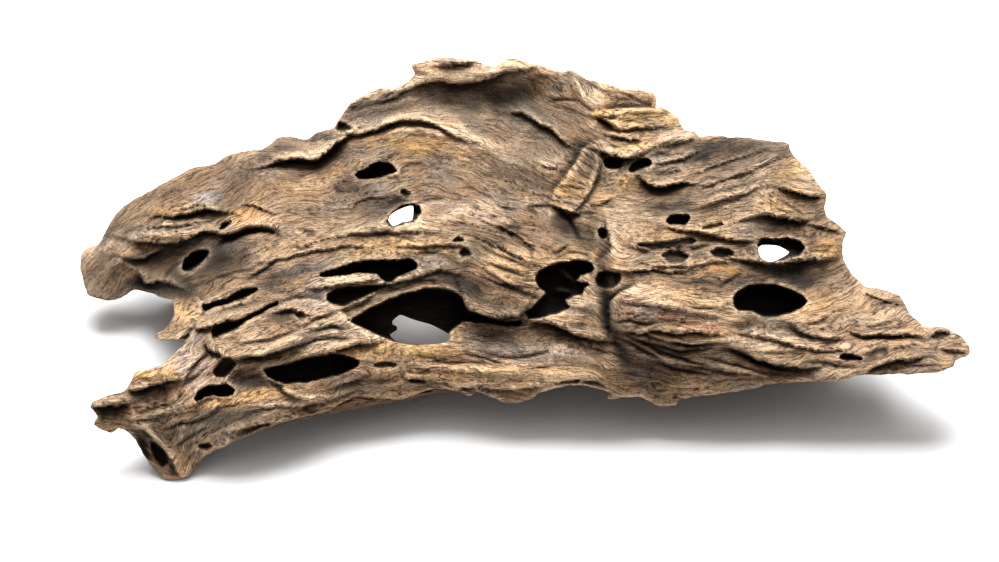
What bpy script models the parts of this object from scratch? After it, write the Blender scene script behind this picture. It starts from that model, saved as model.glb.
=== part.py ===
"""Honeycomb wood: one piece of weathered driftwood, a bent shell of wood on three low feet.

The piece is drawn on a flat grid, as it looks from the front and 30 degrees above. Every mark
on that grid is carried along its own line of sight until it reaches its real height over the
ground, so the grid gives the outline, the holes and the ridges, and the heights give the form.
"""
import math

import bmesh
import bpy
import numpy as np
from mathutils import Vector, geometry

# Driving sizes, in metres. The length is measured on the drawing, tip to tip; because the right
# tip lies nearer than the left one, the finished piece is 4.5 mm longer than that.
LENGTH = 0.356
SHELL_THICKNESS = 0.024
RIM_THICKNESS = 0.008
LEAST_WALL = 0.003
FOOT_FLAT_HEIGHT = 0.0004
MM = 0.001

# The drawing grid: how many squares the length takes, the middle of the view in squares, how
# steeply and from how far the piece is seen, the point looked at and the middle of the plan.
GRID_LENGTH = 890.0
UNIT = LENGTH / GRID_LENGTH
GRID_MIDDLE = (499.5, 281.0)
LOOK_DOWN = math.radians(30.0)
LOOK_FROM = 1.2
LOOK_AT = np.array((-0.0102, 0.0738, 0.047))
PLAN_CENTRE = (-0.00587, 0.0962)

# How finely the solid is worked: in squares of the grid, then in metres; and the faces kept.
GRAIN_STEP = 3.6
WORK_STEP = 0.0010
KEPT_FACES = 11200
RING_POINTS = 20
RING_STEPS = 6

# How the wall grows from the rim inwards, and over what width the carving starts at the rim.
WALL_GROWTH_WIDTH = 2.0 * RIM_THICKNESS
WALL_GROWTH_POWER = 0.7
CARVING_START_WIDTH = 0.002

# Ledges: how wide the step itself is, in squares, and how far its lip stands up, as a share.
STEP_WIDTH = 1.4
LIP_SHARE = 0.25

# The hollow underside: the height of its flutes and lumps. Limbs: how strongly they are lobed.
FLUTE_HEIGHT = 0.0022
LUMP_HEIGHT = 0.0018
BROAD_LOBES = 0.15
FINE_LOBES = 0.08

# Plain finish of the solid.
WOOD_BROWN = (0.38, 0.27, 0.17, 1.0)
WOOD_ROUGHNESS = 0.85

OUTLINE = [
    (80, 265), (83, 251), (99, 243), (107, 228), (118, 211), (136, 198), (168, 181), (190, 168),
    (210, 165), (233, 153), (262, 149), (277, 138), (290, 136), (307, 139), (318, 132), (333, 127),
    (341, 117), (351, 104), (374, 91), (394, 87), (407, 82), (415, 73), (411, 65), (422, 62),
    (438, 58), (473, 60), (484, 65), (496, 65), (509, 59), (522, 60), (545, 67), (563, 72),
    (572, 70), (586, 79), (604, 83), (629, 90), (650, 91), (657, 98), (656, 108), (665, 109),
    (678, 119), (685, 130), (694, 132), (700, 136), (734, 137), (767, 140), (787, 144), (792, 154),
    (809, 170), (818, 184), (827, 195), (825, 207), (828, 217), (840, 226), (846, 233), (843, 242),
    (843, 259), (851, 273), (865, 286), (879, 289), (896, 294), (902, 300), (910, 312), (917, 321),
    (924, 326), (946, 328), (960, 335), (971, 350), (966, 357), (955, 360), (953, 367), (935, 373),
    (901, 374), (862, 375), (837, 381), (798, 382), (767, 384), (753, 389), (717, 394), (680, 399),
    (675, 405), (658, 405), (641, 397), (627, 398), (607, 398), (610, 392), (598, 388), (582, 385),
    (566, 386), (543, 392), (533, 398), (508, 403), (489, 396), (477, 392), (470, 395), (456, 391),
    (439, 388), (413, 395), (398, 399), (358, 398), (343, 402), (328, 411), (300, 418), (264, 429),
    (223, 447), (203, 458), (190, 474), (182, 478), (170, 479), (162, 477), (146, 459), (140, 447),
    (129, 433), (119, 428), (110, 433), (91, 423), (98, 417), (89, 405), (107, 396), (125, 390),
    (135, 373), (142, 370), (160, 366), (170, 358), (185, 343), (174, 340), (158, 339), (156, 334),
    (168, 326), (174, 313), (172, 300), (160, 298), (150, 293), (135, 290), (121, 297), (109, 300),
    (89, 296), (86, 290),
]

# Openings that go right through the wood along the line of sight.
OPENING_MIDDLE = [(388, 219), (393, 213), (403, 208), (413, 206), (412, 220), (403, 222), (393, 226)]
OPENING_RIGHT = [(758, 248), (764, 245), (778, 246), (789, 252), (783, 257), (771, 262), (761, 258)]
OPENING_UNDER_RIM = [
    (391, 323), (400, 315), (409, 318), (418, 321), (432, 325), (450, 335), (448, 341), (438, 344),
    (415, 344), (398, 342), (390, 335), (399, 328),
]
OPENINGS = [OPENING_MIDDLE, OPENING_RIGHT, OPENING_UNDER_RIM]

# Height of the smooth upper face over the ground at marks on the grid, in millimetres.
SPOT_HEIGHTS = [
    (175, 475, 2), (140, 450, 9), (130, 425, 20), (92, 405, 32), (100, 422, 26), (142, 372, 35),
    (180, 345, 39), (200, 400, 29), (200, 440, 13), (235, 406, 31), (250, 428, 19), (300, 417, 21),
    (350, 400, 19), (400, 395, 18), (460, 392, 18), (520, 400, 18), (570, 388, 23), (620, 398, 20),
    (680, 402, 18), (760, 386, 26), (850, 379, 30), (950, 370, 33), (970, 350, 35), (924, 327, 35),
    (896, 294, 35),
    (851, 273, 36), (843, 240, 40), (825, 197, 48), (790, 150, 59), (740, 139, 64), (690, 133, 67),
    (657, 100, 79), (600, 83, 87), (520, 61, 95), (450, 59, 95), (400, 86, 85), (350, 105, 73),
    (300, 138, 56), (250, 153, 52), (210, 166, 49), (150, 191, 44), (100, 243, 32), (82, 266, 23),
    (100, 292, 16), (140, 288, 18), (120, 262, 27), (130, 225, 38), (160, 285, 28), (160, 335, 35),
    (175, 305, 38), (200, 240, 46), (250, 200, 51), (300, 200, 54), (300, 260, 50), (250, 300, 43),
    (240, 345, 40), (220, 385, 31), (250, 395, 31), (350, 180, 59), (350, 240, 55), (340, 310, 47),
    (350, 360, 34), (450, 100, 77), (450, 128, 73), (450, 160, 67), (450, 200, 62), (450, 250, 56),
    (450, 290, 50), (440, 350, 33), (500, 372, 27), (520, 250, 57), (520, 200, 63), (520, 330, 39),
    (550, 120, 76), (570, 230, 60), (580, 290, 50), (560, 360, 31), (620, 120, 78), (620, 165, 70),
    (620, 220, 63), (625, 300, 51), (650, 345, 41), (650, 386, 22), (670, 310, 51), (720, 335, 41),
    (740, 165, 64), (740, 220, 58), (740, 270, 49), (760, 350, 36), (800, 185, 55), (820, 230, 47),
    (820, 290, 41), (820, 340, 36), (880, 320, 37), (900, 350, 35),
]

# Wall thickness that differs from the usual one, in millimetres: place on the grid, reach, extra.
THICK_PLACES = [
    (770, 300, 70, 17), (195, 261, 40, 5), (376, 170, 45, 4), (310, 368, 50, 2), (640, 330, 60, 10),
    (440, 310, 60, 6), (180, 450, 40, 4), (120, 420, 40, -9), (930, 350, 45, -6), (610, 130, 60, 6),
]

# Steps in the surface where one layer ends over another: (drop in mm, reach, marks). The lower
# layer lies on the right of each line's course.
LEDGES = [
    (7.5, 9, [(162, 217), (180, 214), (196, 210), (212, 209), (230, 213)]),
    (6.8, 12, [(132, 240), (160, 241), (178, 241), (192, 235), (204, 230)]),
    (3.8, 6, [(124, 257), (137, 254), (152, 248), (166, 244)]),
    (9.0, 16, [(123, 262), (135, 268), (144, 282), (158, 280), (170, 284), (182, 290)]),
    (9.8, 13, [
        (270, 163), (285, 160), (300, 159), (316, 159), (326, 153), (336, 143), (347, 136), (360, 133),
        (376, 130), (388, 124), (400, 120), (418, 120), (432, 124), (446, 131),
    ]),
    (4.5, 6, [(437, 66), (446, 64), (462, 63), (475, 62)]),
    (7.5, 14, [(404, 91), (420, 84), (440, 80), (452, 83), (468, 82), (488, 79), (506, 71), (528, 69)]),
    (4.5, 8, [(508, 112), (522, 114), (534, 120), (546, 128), (558, 135), (570, 147)]),
    (6.0, 9, [(656, 109), (640, 109), (620, 109), (600, 111)]),
    (6.0, 6, [(596, 117), (605, 121), (612, 127), (620, 131)]),
    (6.0, 8, [(600, 152), (612, 156), (628, 157), (646, 153)]),
    (7.5, 9, [(643, 182), (655, 186), (667, 188), (677, 185), (692, 184)]),
    (6.0, 16, [(601, 140), (584, 148), (574, 162), (562, 178), (553, 190), (551, 204)]),
    (6.0, 8, [(548, 206), (562, 206), (578, 202)]),
    (7.5, 12, [(465, 299), (470, 309), (483, 315), (500, 316), (520, 316)]),
    (7.5, 8, [(527, 321), (545, 325), (562, 328), (577, 335), (592, 338), (612, 342)]),
    (6.8, 9, [(780, 188), (792, 191), (806, 194), (820, 197)]),
    (8.2, 10, [(753, 219), (765, 215), (780, 218), (795, 221), (809, 221)]),
    (6.8, 12, [(735, 268), (752, 263), (775, 262), (800, 260), (828, 259), (842, 250)]),
    (5.2, 9, [(210, 350), (222, 355), (232, 361), (243, 357), (262, 355), (285, 348), (306, 340)]),
    (6.8, 12, [(300, 359), (322, 353), (346, 347), (366, 343), (379, 341)]),
    (6.8, 10, [(126, 390), (142, 387), (160, 383), (174, 379), (184, 377)]),
    (7.5, 10, [(90, 406), (105, 409), (120, 411), (132, 408)]),
    (4.5, 7, [(540, 389), (553, 382), (572, 380), (592, 380), (609, 389)]),
    (4.5, 7, [(612, 327), (630, 330), (650, 334), (680, 339), (712, 341), (735, 341)]),
    (6.0, 9, [(735, 349), (752, 357), (768, 362), (786, 366), (804, 369), (822, 368)]),
    (4.5, 7, [(796, 327), (812, 332), (830, 336), (850, 334), (868, 337), (890, 338), (912, 335)]),
    (4.5, 7, [(856, 374), (872, 369), (886, 361), (902, 358), (922, 357)]),
    (4.5, 10, [(226, 432), (250, 425), (276, 420), (298, 417)]),
    (3.8, 8, [(620, 246), (636, 243), (654, 242), (672, 240), (696, 237)]),
    (3.8, 8, [(612, 269), (640, 268), (664, 270), (690, 270), (720, 279), (736, 279)]),
    (4.5, 7, [(192, 328), (215, 321), (235, 319)]),
]

# Ridges (height above 0) and creases (height below 0): (height in mm, half width, marks).
RIDGES = [
    (3.0, 9, [
        (280, 262), (300, 253), (330, 242), (352, 232), (372, 227), (400, 225), (430, 223), (452, 218),
        (468, 207), (488, 202), (508, 200),
    ]),
    (2.5, 8, [(448, 128), (470, 134), (490, 146), (510, 158), (535, 170)]),
    (-5.0, 7, [(606, 228), (604, 250), (600, 275), (606, 300), (608, 322), (618, 345), (630, 370)]),
    (3.0, 12, [(612, 232), (612, 250), (603, 262)]),
    (2.5, 6, [(657, 145), (672, 140), (694, 134)]),
    (2.5, 6, [(575, 78), (580, 90), (588, 101), (602, 109)]),
    (2.0, 5, [(207, 342), (225, 336), (242, 330)]),
    (2.5, 5, [(243, 354), (262, 352), (285, 344), (308, 334), (330, 322)]),
    (-3.0, 4, [(212, 249), (230, 239), (250, 230), (266, 229)]),
    (-2.0, 3, [(192, 287), (220, 277), (246, 272), (262, 266)]),
    (-2.0, 3, [(246, 281), (262, 271), (277, 260)]),
    (4.0, 13, [(212, 205), (238, 214), (262, 214)]),
    (-4.0, 14, [(480, 98), (505, 92), (535, 88), (560, 90)]),
    (-3.5, 10, [(560, 208), (566, 222), (574, 238)]),
    (3.5, 18, [(540, 215), (550, 232), (556, 246)]),
    (3.5, 22, [(620, 300), (660, 300), (700, 312)]),
    (3.0, 9, [(690, 196), (725, 180), (760, 166), (790, 156)]),
    (-1.5, 4, [(690, 158), (720, 148), (745, 141)]),
    (-1.5, 4, [(700, 205), (735, 190), (765, 182)]),
    (-2.0, 4, [(640, 345), (670, 354), (705, 358), (735, 362)]),
    (-2.0, 5, [(460, 352), (490, 357), (525, 357), (548, 350)]),
    (-2.5, 6, [(470, 252), (500, 262), (525, 290)]),
    (-2.5, 8, [(470, 330), (510, 336), (550, 338)]),
]

# Broad swellings (height above 0) and dips (below 0): (height in mm, half width, half height, mark).
SWELLINGS = [
    (-9.0, 48, 16, (500, 95)), (-4.0, 40, 16, (375, 112)), (6.0, 42, 40, (500, 250)),
    (6.0, 55, 26, (665, 300)), (-5.0, 22, 26, (585, 238)), (3.0, 60, 14, (430, 235)),
    (-7.0, 36, 13, (165, 256)), (3.0, 30, 12, (160, 228)), (-4.0, 45, 15, (700, 255)),
    (-4.0, 40, 14, (790, 275)), (3.5, 60, 18, (740, 195)), (-4.0, 34, 10, (640, 190)),
    (3.0, 24, 12, (640, 145)), (-5.0, 34, 12, (655, 372)), (3.0, 80, 10, (520, 372)),
    (-5.0, 40, 10, (250, 378)), (4.0, 40, 12, (290, 335)), (-4.0, 26, 9, (215, 262)),
]

# Holes and hollows that end in the wood: (depth in mm, width of the sloping edge, marks).
HOLLOWS = [
    (14.0, 6, [
        (181, 266), (184, 258), (192, 252), (202, 249), (209, 250), (208, 257), (201, 266), (190, 272),
        (183, 271),
    ]),
    (6.0, 4, [(218, 231), (221, 224), (231, 219), (233, 220), (226, 229)]),
    (14.0, 6, [
        (354, 174), (358, 169), (369, 167), (377, 162), (391, 163), (398, 170), (388, 176), (371, 180),
        (356, 179),
    ]),
    (9.0, 5, [
        (386, 222), (390, 213), (400, 206), (411, 202), (420, 205), (422, 213), (416, 221), (404, 225),
        (391, 228),
    ]),
    (10.0, 5, [(666, 220), (671, 216), (680, 214), (690, 215), (690, 221), (685, 225), (670, 225)]),
    (3.5, 5, [(661, 255), (669, 249), (681, 250), (691, 256), (685, 263), (669, 263)]),
    (3.5, 5, [(708, 252), (716, 247), (730, 248), (736, 255), (722, 259)]),
    (26.0, 8, [
        (733, 291), (745, 286), (758, 284), (772, 284), (788, 288), (800, 294), (808, 302), (802, 309),
        (782, 316), (768, 318), (752, 312), (738, 311), (732, 304),
    ]),
    (6.0, 4, [(839, 357), (845, 353), (858, 355), (865, 358), (860, 362), (845, 361)]),
    (11.0, 6, [
        (757, 246), (760, 238), (772, 238), (790, 238), (801, 241), (806, 248), (800, 256), (784, 261),
        (770, 263), (760, 260),
    ]),
    (14.0, 5, [
        (193, 400), (197, 392), (209, 385), (225, 385), (235, 391), (230, 397), (217, 398), (202, 400),
    ]),
    (5.0, 6, [(213, 372), (220, 359), (231, 357), (238, 364), (230, 377), (220, 380)]),
    (14.0, 9, [
        (250, 372), (272, 365), (300, 362), (322, 356), (340, 353), (356, 357), (362, 364), (352, 373),
        (334, 379), (306, 383), (284, 385), (262, 380),
    ]),
    (9.0, 5, [
        (203, 305), (214, 301), (236, 292), (250, 287), (258, 289), (250, 297), (226, 305), (206, 311),
    ]),
    (7.0, 5, [
        (210, 328), (226, 320), (242, 318), (260, 309), (281, 298), (270, 309), (247, 320), (236, 331),
        (213, 339),
    ]),
    (15.0, 6, [
        (317, 275), (338, 266), (357, 261), (400, 260), (413, 262), (419, 268), (408, 274), (397, 278),
        (388, 285), (379, 278), (352, 276), (326, 278),
    ]),
    (11.0, 7, [
        (325, 299), (329, 290), (345, 286), (372, 285), (390, 284), (376, 291), (358, 300), (341, 307),
        (330, 304),
    ]),
    (17.0, 9, [
        (348, 320), (362, 310), (385, 299), (410, 290), (432, 286), (450, 288), (462, 296), (468, 308),
        (482, 316), (505, 321), (528, 320), (520, 327), (490, 325), (462, 323), (450, 332), (446, 343),
        (415, 346), (392, 342), (372, 333),
    ]),
    (15.0, 7, [
        (528, 318), (524, 311), (536, 302), (546, 291), (536, 281), (538, 270), (552, 264), (575, 260),
        (592, 263), (594, 272), (578, 281), (584, 295), (565, 299), (570, 309), (546, 317),
    ]),
    (5.0, 4, [(602, 162), (612, 158), (623, 159), (620, 169), (606, 169)]),
    (6.0, 4, [(627, 167), (635, 160), (648, 158), (647, 166), (634, 172)]),
    (6.0, 5, [(594, 280), (601, 271), (622, 270), (620, 284), (608, 290)]),
    (5.0, 4, [(596, 236), (600, 228), (608, 230), (606, 240)]),
    (6.0, 6, [(336, 131), (337, 121), (346, 123), (354, 128), (344, 133)]),
    (4.0, 5, [(931, 338), (934, 331), (950, 332), (953, 336), (944, 340)]),
    (5.0, 6, [(150, 443), (158, 444), (170, 460), (166, 468), (156, 462)]),
    (3.0, 5, [(371, 364), (380, 361), (392, 361), (396, 365), (384, 368)]),
    (3.0, 5, [(402, 373), (415, 378), (430, 379), (424, 384), (404, 381)]),
    (3.0, 7, [(272, 313), (290, 309), (306, 313), (300, 321), (282, 322)]),
]

# Limbs grown into the underside: each mark of a limb's middle line is in millimetres over the
# ground plan (along, back, up), followed by half its width along and half its width back.
ROOT_BACK = [
    (-2, 138, 68, 27, 14), (2, 147, 54, 21, 12), (8, 156, 38, 16, 11), (13, 163, 22, 13, 10),
    (14, 168, 8, 11, 9), (14, 168, 0, 9, 8),
]
ROOT_BACK_LEFT = [
    (-38, 138, 64, 15, 13), (-28, 149, 51, 11, 10), (-13, 157, 37, 9, 8), (3, 163, 24, 8, 8),
    (14, 166, 12, 7, 7),
]
ROOT_BACK_RIGHT = [
    (66, 136, 62, 20, 13), (55, 148, 48, 14, 10), (40, 157, 36, 12, 9), (26, 163, 22, 10, 8),
    (16, 167, 8, 8, 7),
]
ROOT_RIGHT = [
    (104, 89, 30, 22, 11), (113, 89, 20, 16, 10), (121, 89, 10, 12, 9), (125, 90, 4, 9, 8),
    (125, 90, 0, 8, 7),
]
ROOT_RIGHT_STRAND = [(62, 90, 50, 10, 12), (86, 94, 28, 8, 9), (106, 93, 15, 7, 8), (122, 90, 7, 6, 7)]
RIB_UNDER = [
    (-134, 12, 14, 9, 8), (-112, 42, 25, 11, 9), (-82, 72, 32, 10, 9), (-52, 94, 38, 11, 9),
    (-24, 118, 46, 13, 10), (-4, 142, 58, 15, 12),
]
RIB_FRONT = [
    (-126, 16, 20, 8, 9), (-80, 30, 22, 6, 9), (-30, 48, 22, 6, 9), (20, 52, 25, 7, 10),
    (62, 58, 33, 9, 12), (86, 66, 46, 9, 12),
]
LUMP_LOBE = [(-124, 100, 47, 20, 12), (-139, 122, 28, 17, 10), (-147, 136, 14, 11, 8), (-147, 141, 8, 5, 5)]
LIMBS = [
    ROOT_BACK, ROOT_BACK_LEFT, ROOT_BACK_RIGHT, ROOT_RIGHT, ROOT_RIGHT_STRAND, RIB_UNDER, RIB_FRONT,
    LUMP_LOBE,
]


def clear_scene():
    """Takes away whatever the file opened with."""
    for thing in list(bpy.data.objects):
        bpy.data.objects.remove(thing, do_unlink=True)


def line_of_sight(u, v):
    """Gives the point at zero depth and the direction towards the viewer for marks (u, v)."""
    across = (u - GRID_MIDDLE[0]) * UNIT
    up = (GRID_MIDDLE[1] - v) * UNIT
    sine, cosine = math.sin(LOOK_DOWN), math.cos(LOOK_DOWN)
    offset = np.stack([across, up * sine, up * cosine], axis=-1)
    towards = np.array((0.0, -cosine, sine)) - offset / LOOK_FROM
    return LOOK_AT + offset, towards


def place(u, v, depth):
    """Places marks (u, v) at a depth towards the viewer, in metres."""
    start, towards = line_of_sight(u, v)
    return start + towards * depth[..., None]


def depth_at_height(u, v, height):
    """Gives the depth at which a line of sight passes a height over the ground."""
    start, towards = line_of_sight(u, v)
    return (height - start[..., 2]) / towards[..., 2]


def spline_through(marks):
    """Fits a smooth bending sheet through (u, v, value) marks and returns it as a function."""
    marks = np.array(marks, float)
    spots = marks[:, :2] / 100.0
    count = len(spots)

    def bend(first, second):
        """Gives the bending of each pair of points."""
        gap = ((first[:, None, :] - second[None, :, :]) ** 2).sum(-1)
        return 0.5 * gap * np.log(gap + 1e-9)

    system = np.zeros((count + 3, count + 3))
    system[:count, :count] = bend(spots, spots) + 0.02 * np.eye(count)
    system[:count, count] = 1.0
    system[:count, count + 1:] = spots
    system[count:, :count] = system[:count, count:].T
    weights = np.linalg.solve(system, np.concatenate([marks[:, 2], np.zeros(3)]))

    def value(u, v):
        """Gives the sheet's value at marks (u, v)."""
        points = np.stack([u, v], axis=-1) / 100.0
        return bend(points, spots) @ weights[:count] + weights[count] + points @ weights[count + 1:]

    return value


def distance_to_line(points, marks, closed=False):
    """Gives each point's distance to a line of marks, its side, and how far along it lies."""
    corners = np.array(marks, float)
    ends = np.roll(corners, -1, axis=0) if closed else corners[1:]
    starts = corners if closed else corners[:-1]
    legs = ends - starts
    lengths = np.hypot(legs[:, 0], legs[:, 1])
    passed = np.concatenate([[0.0], np.cumsum(lengths)])
    best = np.full(len(points), np.inf)
    side = np.zeros(len(points))
    along = np.zeros(len(points))
    for start, leg, length, before in zip(starts, legs, lengths, passed):
        offset = points - start
        share = np.clip(offset @ leg / length ** 2, 0.0, 1.0)
        gap = np.linalg.norm(offset - share[:, None] * leg, axis=1)
        nearer = gap < best
        turn = leg[0] * offset[:, 1] - leg[1] * offset[:, 0]
        best = np.where(nearer, gap, best)
        side = np.where(nearer, np.sign(turn), side)
        along = np.where(nearer, (before + share * length) / passed[-1], along)
    return best, side, along


def inside(points, marks):
    """Tells which points lie inside a closed line of marks."""
    corners = np.array(marks, float)
    result = np.zeros(len(points), bool)
    for start, end in zip(corners, np.roll(corners, -1, axis=0)):
        crosses = (start[1] > points[:, 1]) != (end[1] > points[:, 1])
        rise = end[1] - start[1] if end[1] != start[1] else 1e-9
        reach = start[0] + (points[:, 1] - start[1]) * (end[0] - start[0]) / rise
        result ^= crosses & (points[:, 0] < reach)
    return result


def rounded_line(marks, step):
    """Runs a smooth closed curve through marks, with a point about every step."""
    corners = np.array(marks, float)
    count = len(corners)
    curve = []
    for index in range(count):
        before, start, end, after = (corners[(index + shift) % count] for shift in (-1, 0, 1, 2))
        pieces = max(1, round(np.linalg.norm(end - start) / step))
        for part in range(pieces):
            t = part / pieces
            pull_in = (end - before) * 0.35
            pull_out = (after - start) * 0.35
            curve.append(
                start * (2 * t ** 3 - 3 * t ** 2 + 1) + pull_in * (t ** 3 - 2 * t ** 2 + t)
                + end * (3 * t ** 2 - 2 * t ** 3) + pull_out * (t ** 3 - t ** 2)
            )
    return np.array(curve)


def fade(along):
    """Lets a form grow in and die out at its two ends."""
    return np.sin(np.pi * np.clip(along, 0.02, 0.98)) ** 0.5


def carving(points):
    """Adds up what the ledges, ridges and hollows take from or add to the face, in metres."""
    change = np.zeros(len(points))
    for drop, reach, marks in LEDGES:
        gap, side, along = distance_to_line(points, marks)
        under = np.exp(-gap / reach) * np.clip(gap / STEP_WIDTH, 0.0, 1.0)
        lip = LIP_SHARE * np.exp(-((gap / reach) ** 2) * 2.0)
        change += np.where(side > 0, -under, lip) * fade(along) * drop * MM
    for height, width, marks in RIDGES:
        gap, _, along = distance_to_line(points, marks)
        change += height * MM * np.exp(-((gap / width) ** 2)) * fade(along)
    for height, wide, high, (u, v) in SWELLINGS:
        gap = ((points[:, 0] - u) / wide) ** 2 + ((points[:, 1] - v) / high) ** 2
        change += height * MM * np.exp(-gap)
    deepest = np.zeros(len(points))
    for depth, edge, marks in HOLLOWS:
        gap = distance_to_line(points, marks, closed=True)[0]
        slope = np.clip(gap / edge, 0.0, 1.0)
        bowl = np.where(inside(points, marks), np.sqrt(slope * (2.0 - slope)), 0.0)
        deepest = np.maximum(deepest, bowl * depth * MM)
    return change - deepest


def wall_thickness(points):
    """Gives the wall's thickness along the line of sight, in metres."""
    wall = np.full(len(points), SHELL_THICKNESS)
    for u, v, reach, extra in THICK_PLACES:
        gap = (points[:, 0] - u) ** 2 + (points[:, 1] - v) ** 2
        wall += extra * MM * np.exp(-gap / reach ** 2)
    return wall


def flat_sheet(loops, step):
    """Fills the outline, less its openings, with triangles; the loops' points come first."""
    edge = np.concatenate(loops)
    links = []
    first = 0
    for loop in loops:
        count = len(loop)
        links += [(first + index, first + (index + 1) % count) for index in range(count)]
        first += count
    low, high = loops[0].min(axis=0), loops[0].max(axis=0)
    rows = np.arange(low[1], high[1], step * 0.866)
    columns = np.arange(low[0], high[0], step)
    field = np.array([(u + 0.5 * step * (row % 2), v) for row, v in enumerate(rows) for u in columns])
    keep = inside(field, loops[0])
    for loop in loops[1:]:
        keep &= ~inside(field, loop)
    for loop in loops:
        keep[keep] = distance_to_line(field[keep], loop, closed=True)[0] > 0.6 * step
    points = np.concatenate([edge, field[keep]])
    result = geometry.delaunay_2d_cdt([tuple(point) for point in points], links, [], 0, 1e-6)
    points = np.array([tuple(point) for point in result[0]])
    triangles = np.array(result[2])
    middles = points[triangles].mean(axis=1)
    keep = inside(middles, loops[0])
    for loop in loops[1:]:
        keep &= ~inside(middles, loop)
    return points, triangles[keep]


def underside_relief(points):
    """Gives the shallow flutes of the hollow underside, in metres."""
    u, v = points[:, 0], points[:, 1]
    flutes = np.sin(0.055 * v + 0.9 * np.sin(0.011 * u) + 1.3 * np.sin(0.021 * v + 0.006 * u))
    lumps = np.sin(0.033 * u + 1.1) * np.sin(0.041 * v - 0.012 * u)
    return FLUTE_HEIGHT * flutes + LUMP_HEIGHT * lumps


def shell():
    """Builds the closed shell of the piece: upper face, underside, rim and the walls of its openings."""
    loops = [rounded_line(OUTLINE, GRAIN_STEP)]
    loops += [rounded_line(marks, GRAIN_STEP) for marks in OPENINGS]
    points, triangles = flat_sheet(loops, GRAIN_STEP)
    u, v = points[:, 0], points[:, 1]
    rim_count = len(loops[0])
    height = spline_through(SPOT_HEIGHTS)(u, v) * MM
    middle = depth_at_height(u, v, height)
    gap = distance_to_line(points, loops[0], closed=True)[0] * UNIT
    gap[:rim_count] = 0.0
    round_edge = np.clip(gap / RIM_THICKNESS, 0.0, 1.0)
    bulge = np.sqrt(round_edge * (2.0 - round_edge))
    blend = np.clip(gap / WALL_GROWTH_WIDTH, 0.0, 1.0) ** WALL_GROWTH_POWER
    carved = carving(points) * np.clip(gap / CARVING_START_WIDTH, 0.0, 1.0)
    wall = RIM_THICKNESS + (wall_thickness(points) - RIM_THICKNESS) * blend
    upper = middle + bulge * (0.5 * RIM_THICKNESS) + carved
    lower = middle + (0.5 * RIM_THICKNESS - wall) * bulge + underside_relief(points) * blend
    lower = np.minimum(lower, upper - LEAST_WALL * bulge)
    ground = depth_at_height(u, v, 0.0)
    top = place(u, v, np.maximum(upper, ground))
    bottom = place(u, v, np.maximum(lower, ground))
    inner = np.arange(rim_count, len(points))
    vertices = np.concatenate([top, bottom[inner]])
    below = np.concatenate([np.arange(rim_count), inner + len(points) - rim_count])
    faces = [tuple(int(n) for n in face) for face in triangles]
    faces += [tuple(int(below[n]) for n in face[::-1]) for face in triangles]
    first = rim_count
    for loop in loops[1:]:
        count = len(loop)
        for index in range(count):
            here, onward = first + index, first + (index + 1) % count
            faces.append((here, onward, int(below[onward]), int(below[here])))
        first += count
    return new_object("shell", vertices, faces)


def new_object(name, vertices, faces):
    """Makes a mesh object with its faces turned outwards."""
    mesh = bpy.data.meshes.new(name)
    mesh.from_pydata([tuple(point) for point in vertices], [], faces)
    work = bmesh.new()
    work.from_mesh(mesh)
    bmesh.ops.recalc_face_normals(work, faces=work.faces)
    work.to_mesh(mesh)
    work.free()
    return bpy.data.objects.new(name, mesh)


def limb(marks):
    """Builds one root or rib as a closed, lumpy limb; a root's last ring lies flat on the ground."""
    line = np.array(marks, float)
    rings = []
    for index in range(len(line) - 1):
        for part in range(RING_STEPS):
            share = part / RING_STEPS
            rings.append(line[index] * (1 - share) + line[index + 1] * share)
    rings.append(line[-1])
    rings = np.array(rings)
    courses = np.gradient(rings[:, :3], axis=0)
    vertices = []
    for level, (ring, course) in enumerate(zip(rings, courses)):
        course = Vector(course).normalized()
        wide_way = (Vector((1, 0, 0)) - course * course.x).normalized()
        deep_way = course.cross(wide_way)
        for turn in range(RING_POINTS):
            angle = 2 * math.pi * turn / RING_POINTS
            lump = 1.0 + BROAD_LOBES * math.sin(3 * angle + 0.25 * level)
            lump += FINE_LOBES * math.sin(5 * angle + 1.0)
            reach = wide_way * (ring[3] * math.cos(angle)) + deep_way * (ring[4] * math.sin(angle))
            vertices.append((Vector(ring[:3]) + reach * lump) * MM)
    faces = []
    for level in range(len(rings) - 1):
        for turn in range(RING_POINTS):
            here, onward = level * RING_POINTS + turn, level * RING_POINTS + (turn + 1) % RING_POINTS
            faces.append((here, onward, onward + RING_POINTS, here + RING_POINTS))
    faces.append(tuple(range(RING_POINTS))[::-1])
    faces.append(tuple(range(len(vertices) - RING_POINTS, len(vertices))))
    return new_object("limb", vertices, faces)


def wood_material():
    """Gives the solid a plain brown wood colour."""
    material = bpy.data.materials.new("Driftwood")
    material.use_nodes = True
    shader = material.node_tree.nodes["Principled BSDF"]
    shader.inputs["Base Color"].default_value = WOOD_BROWN
    shader.inputs["Roughness"].default_value = WOOD_ROUGHNESS
    return material


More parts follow.
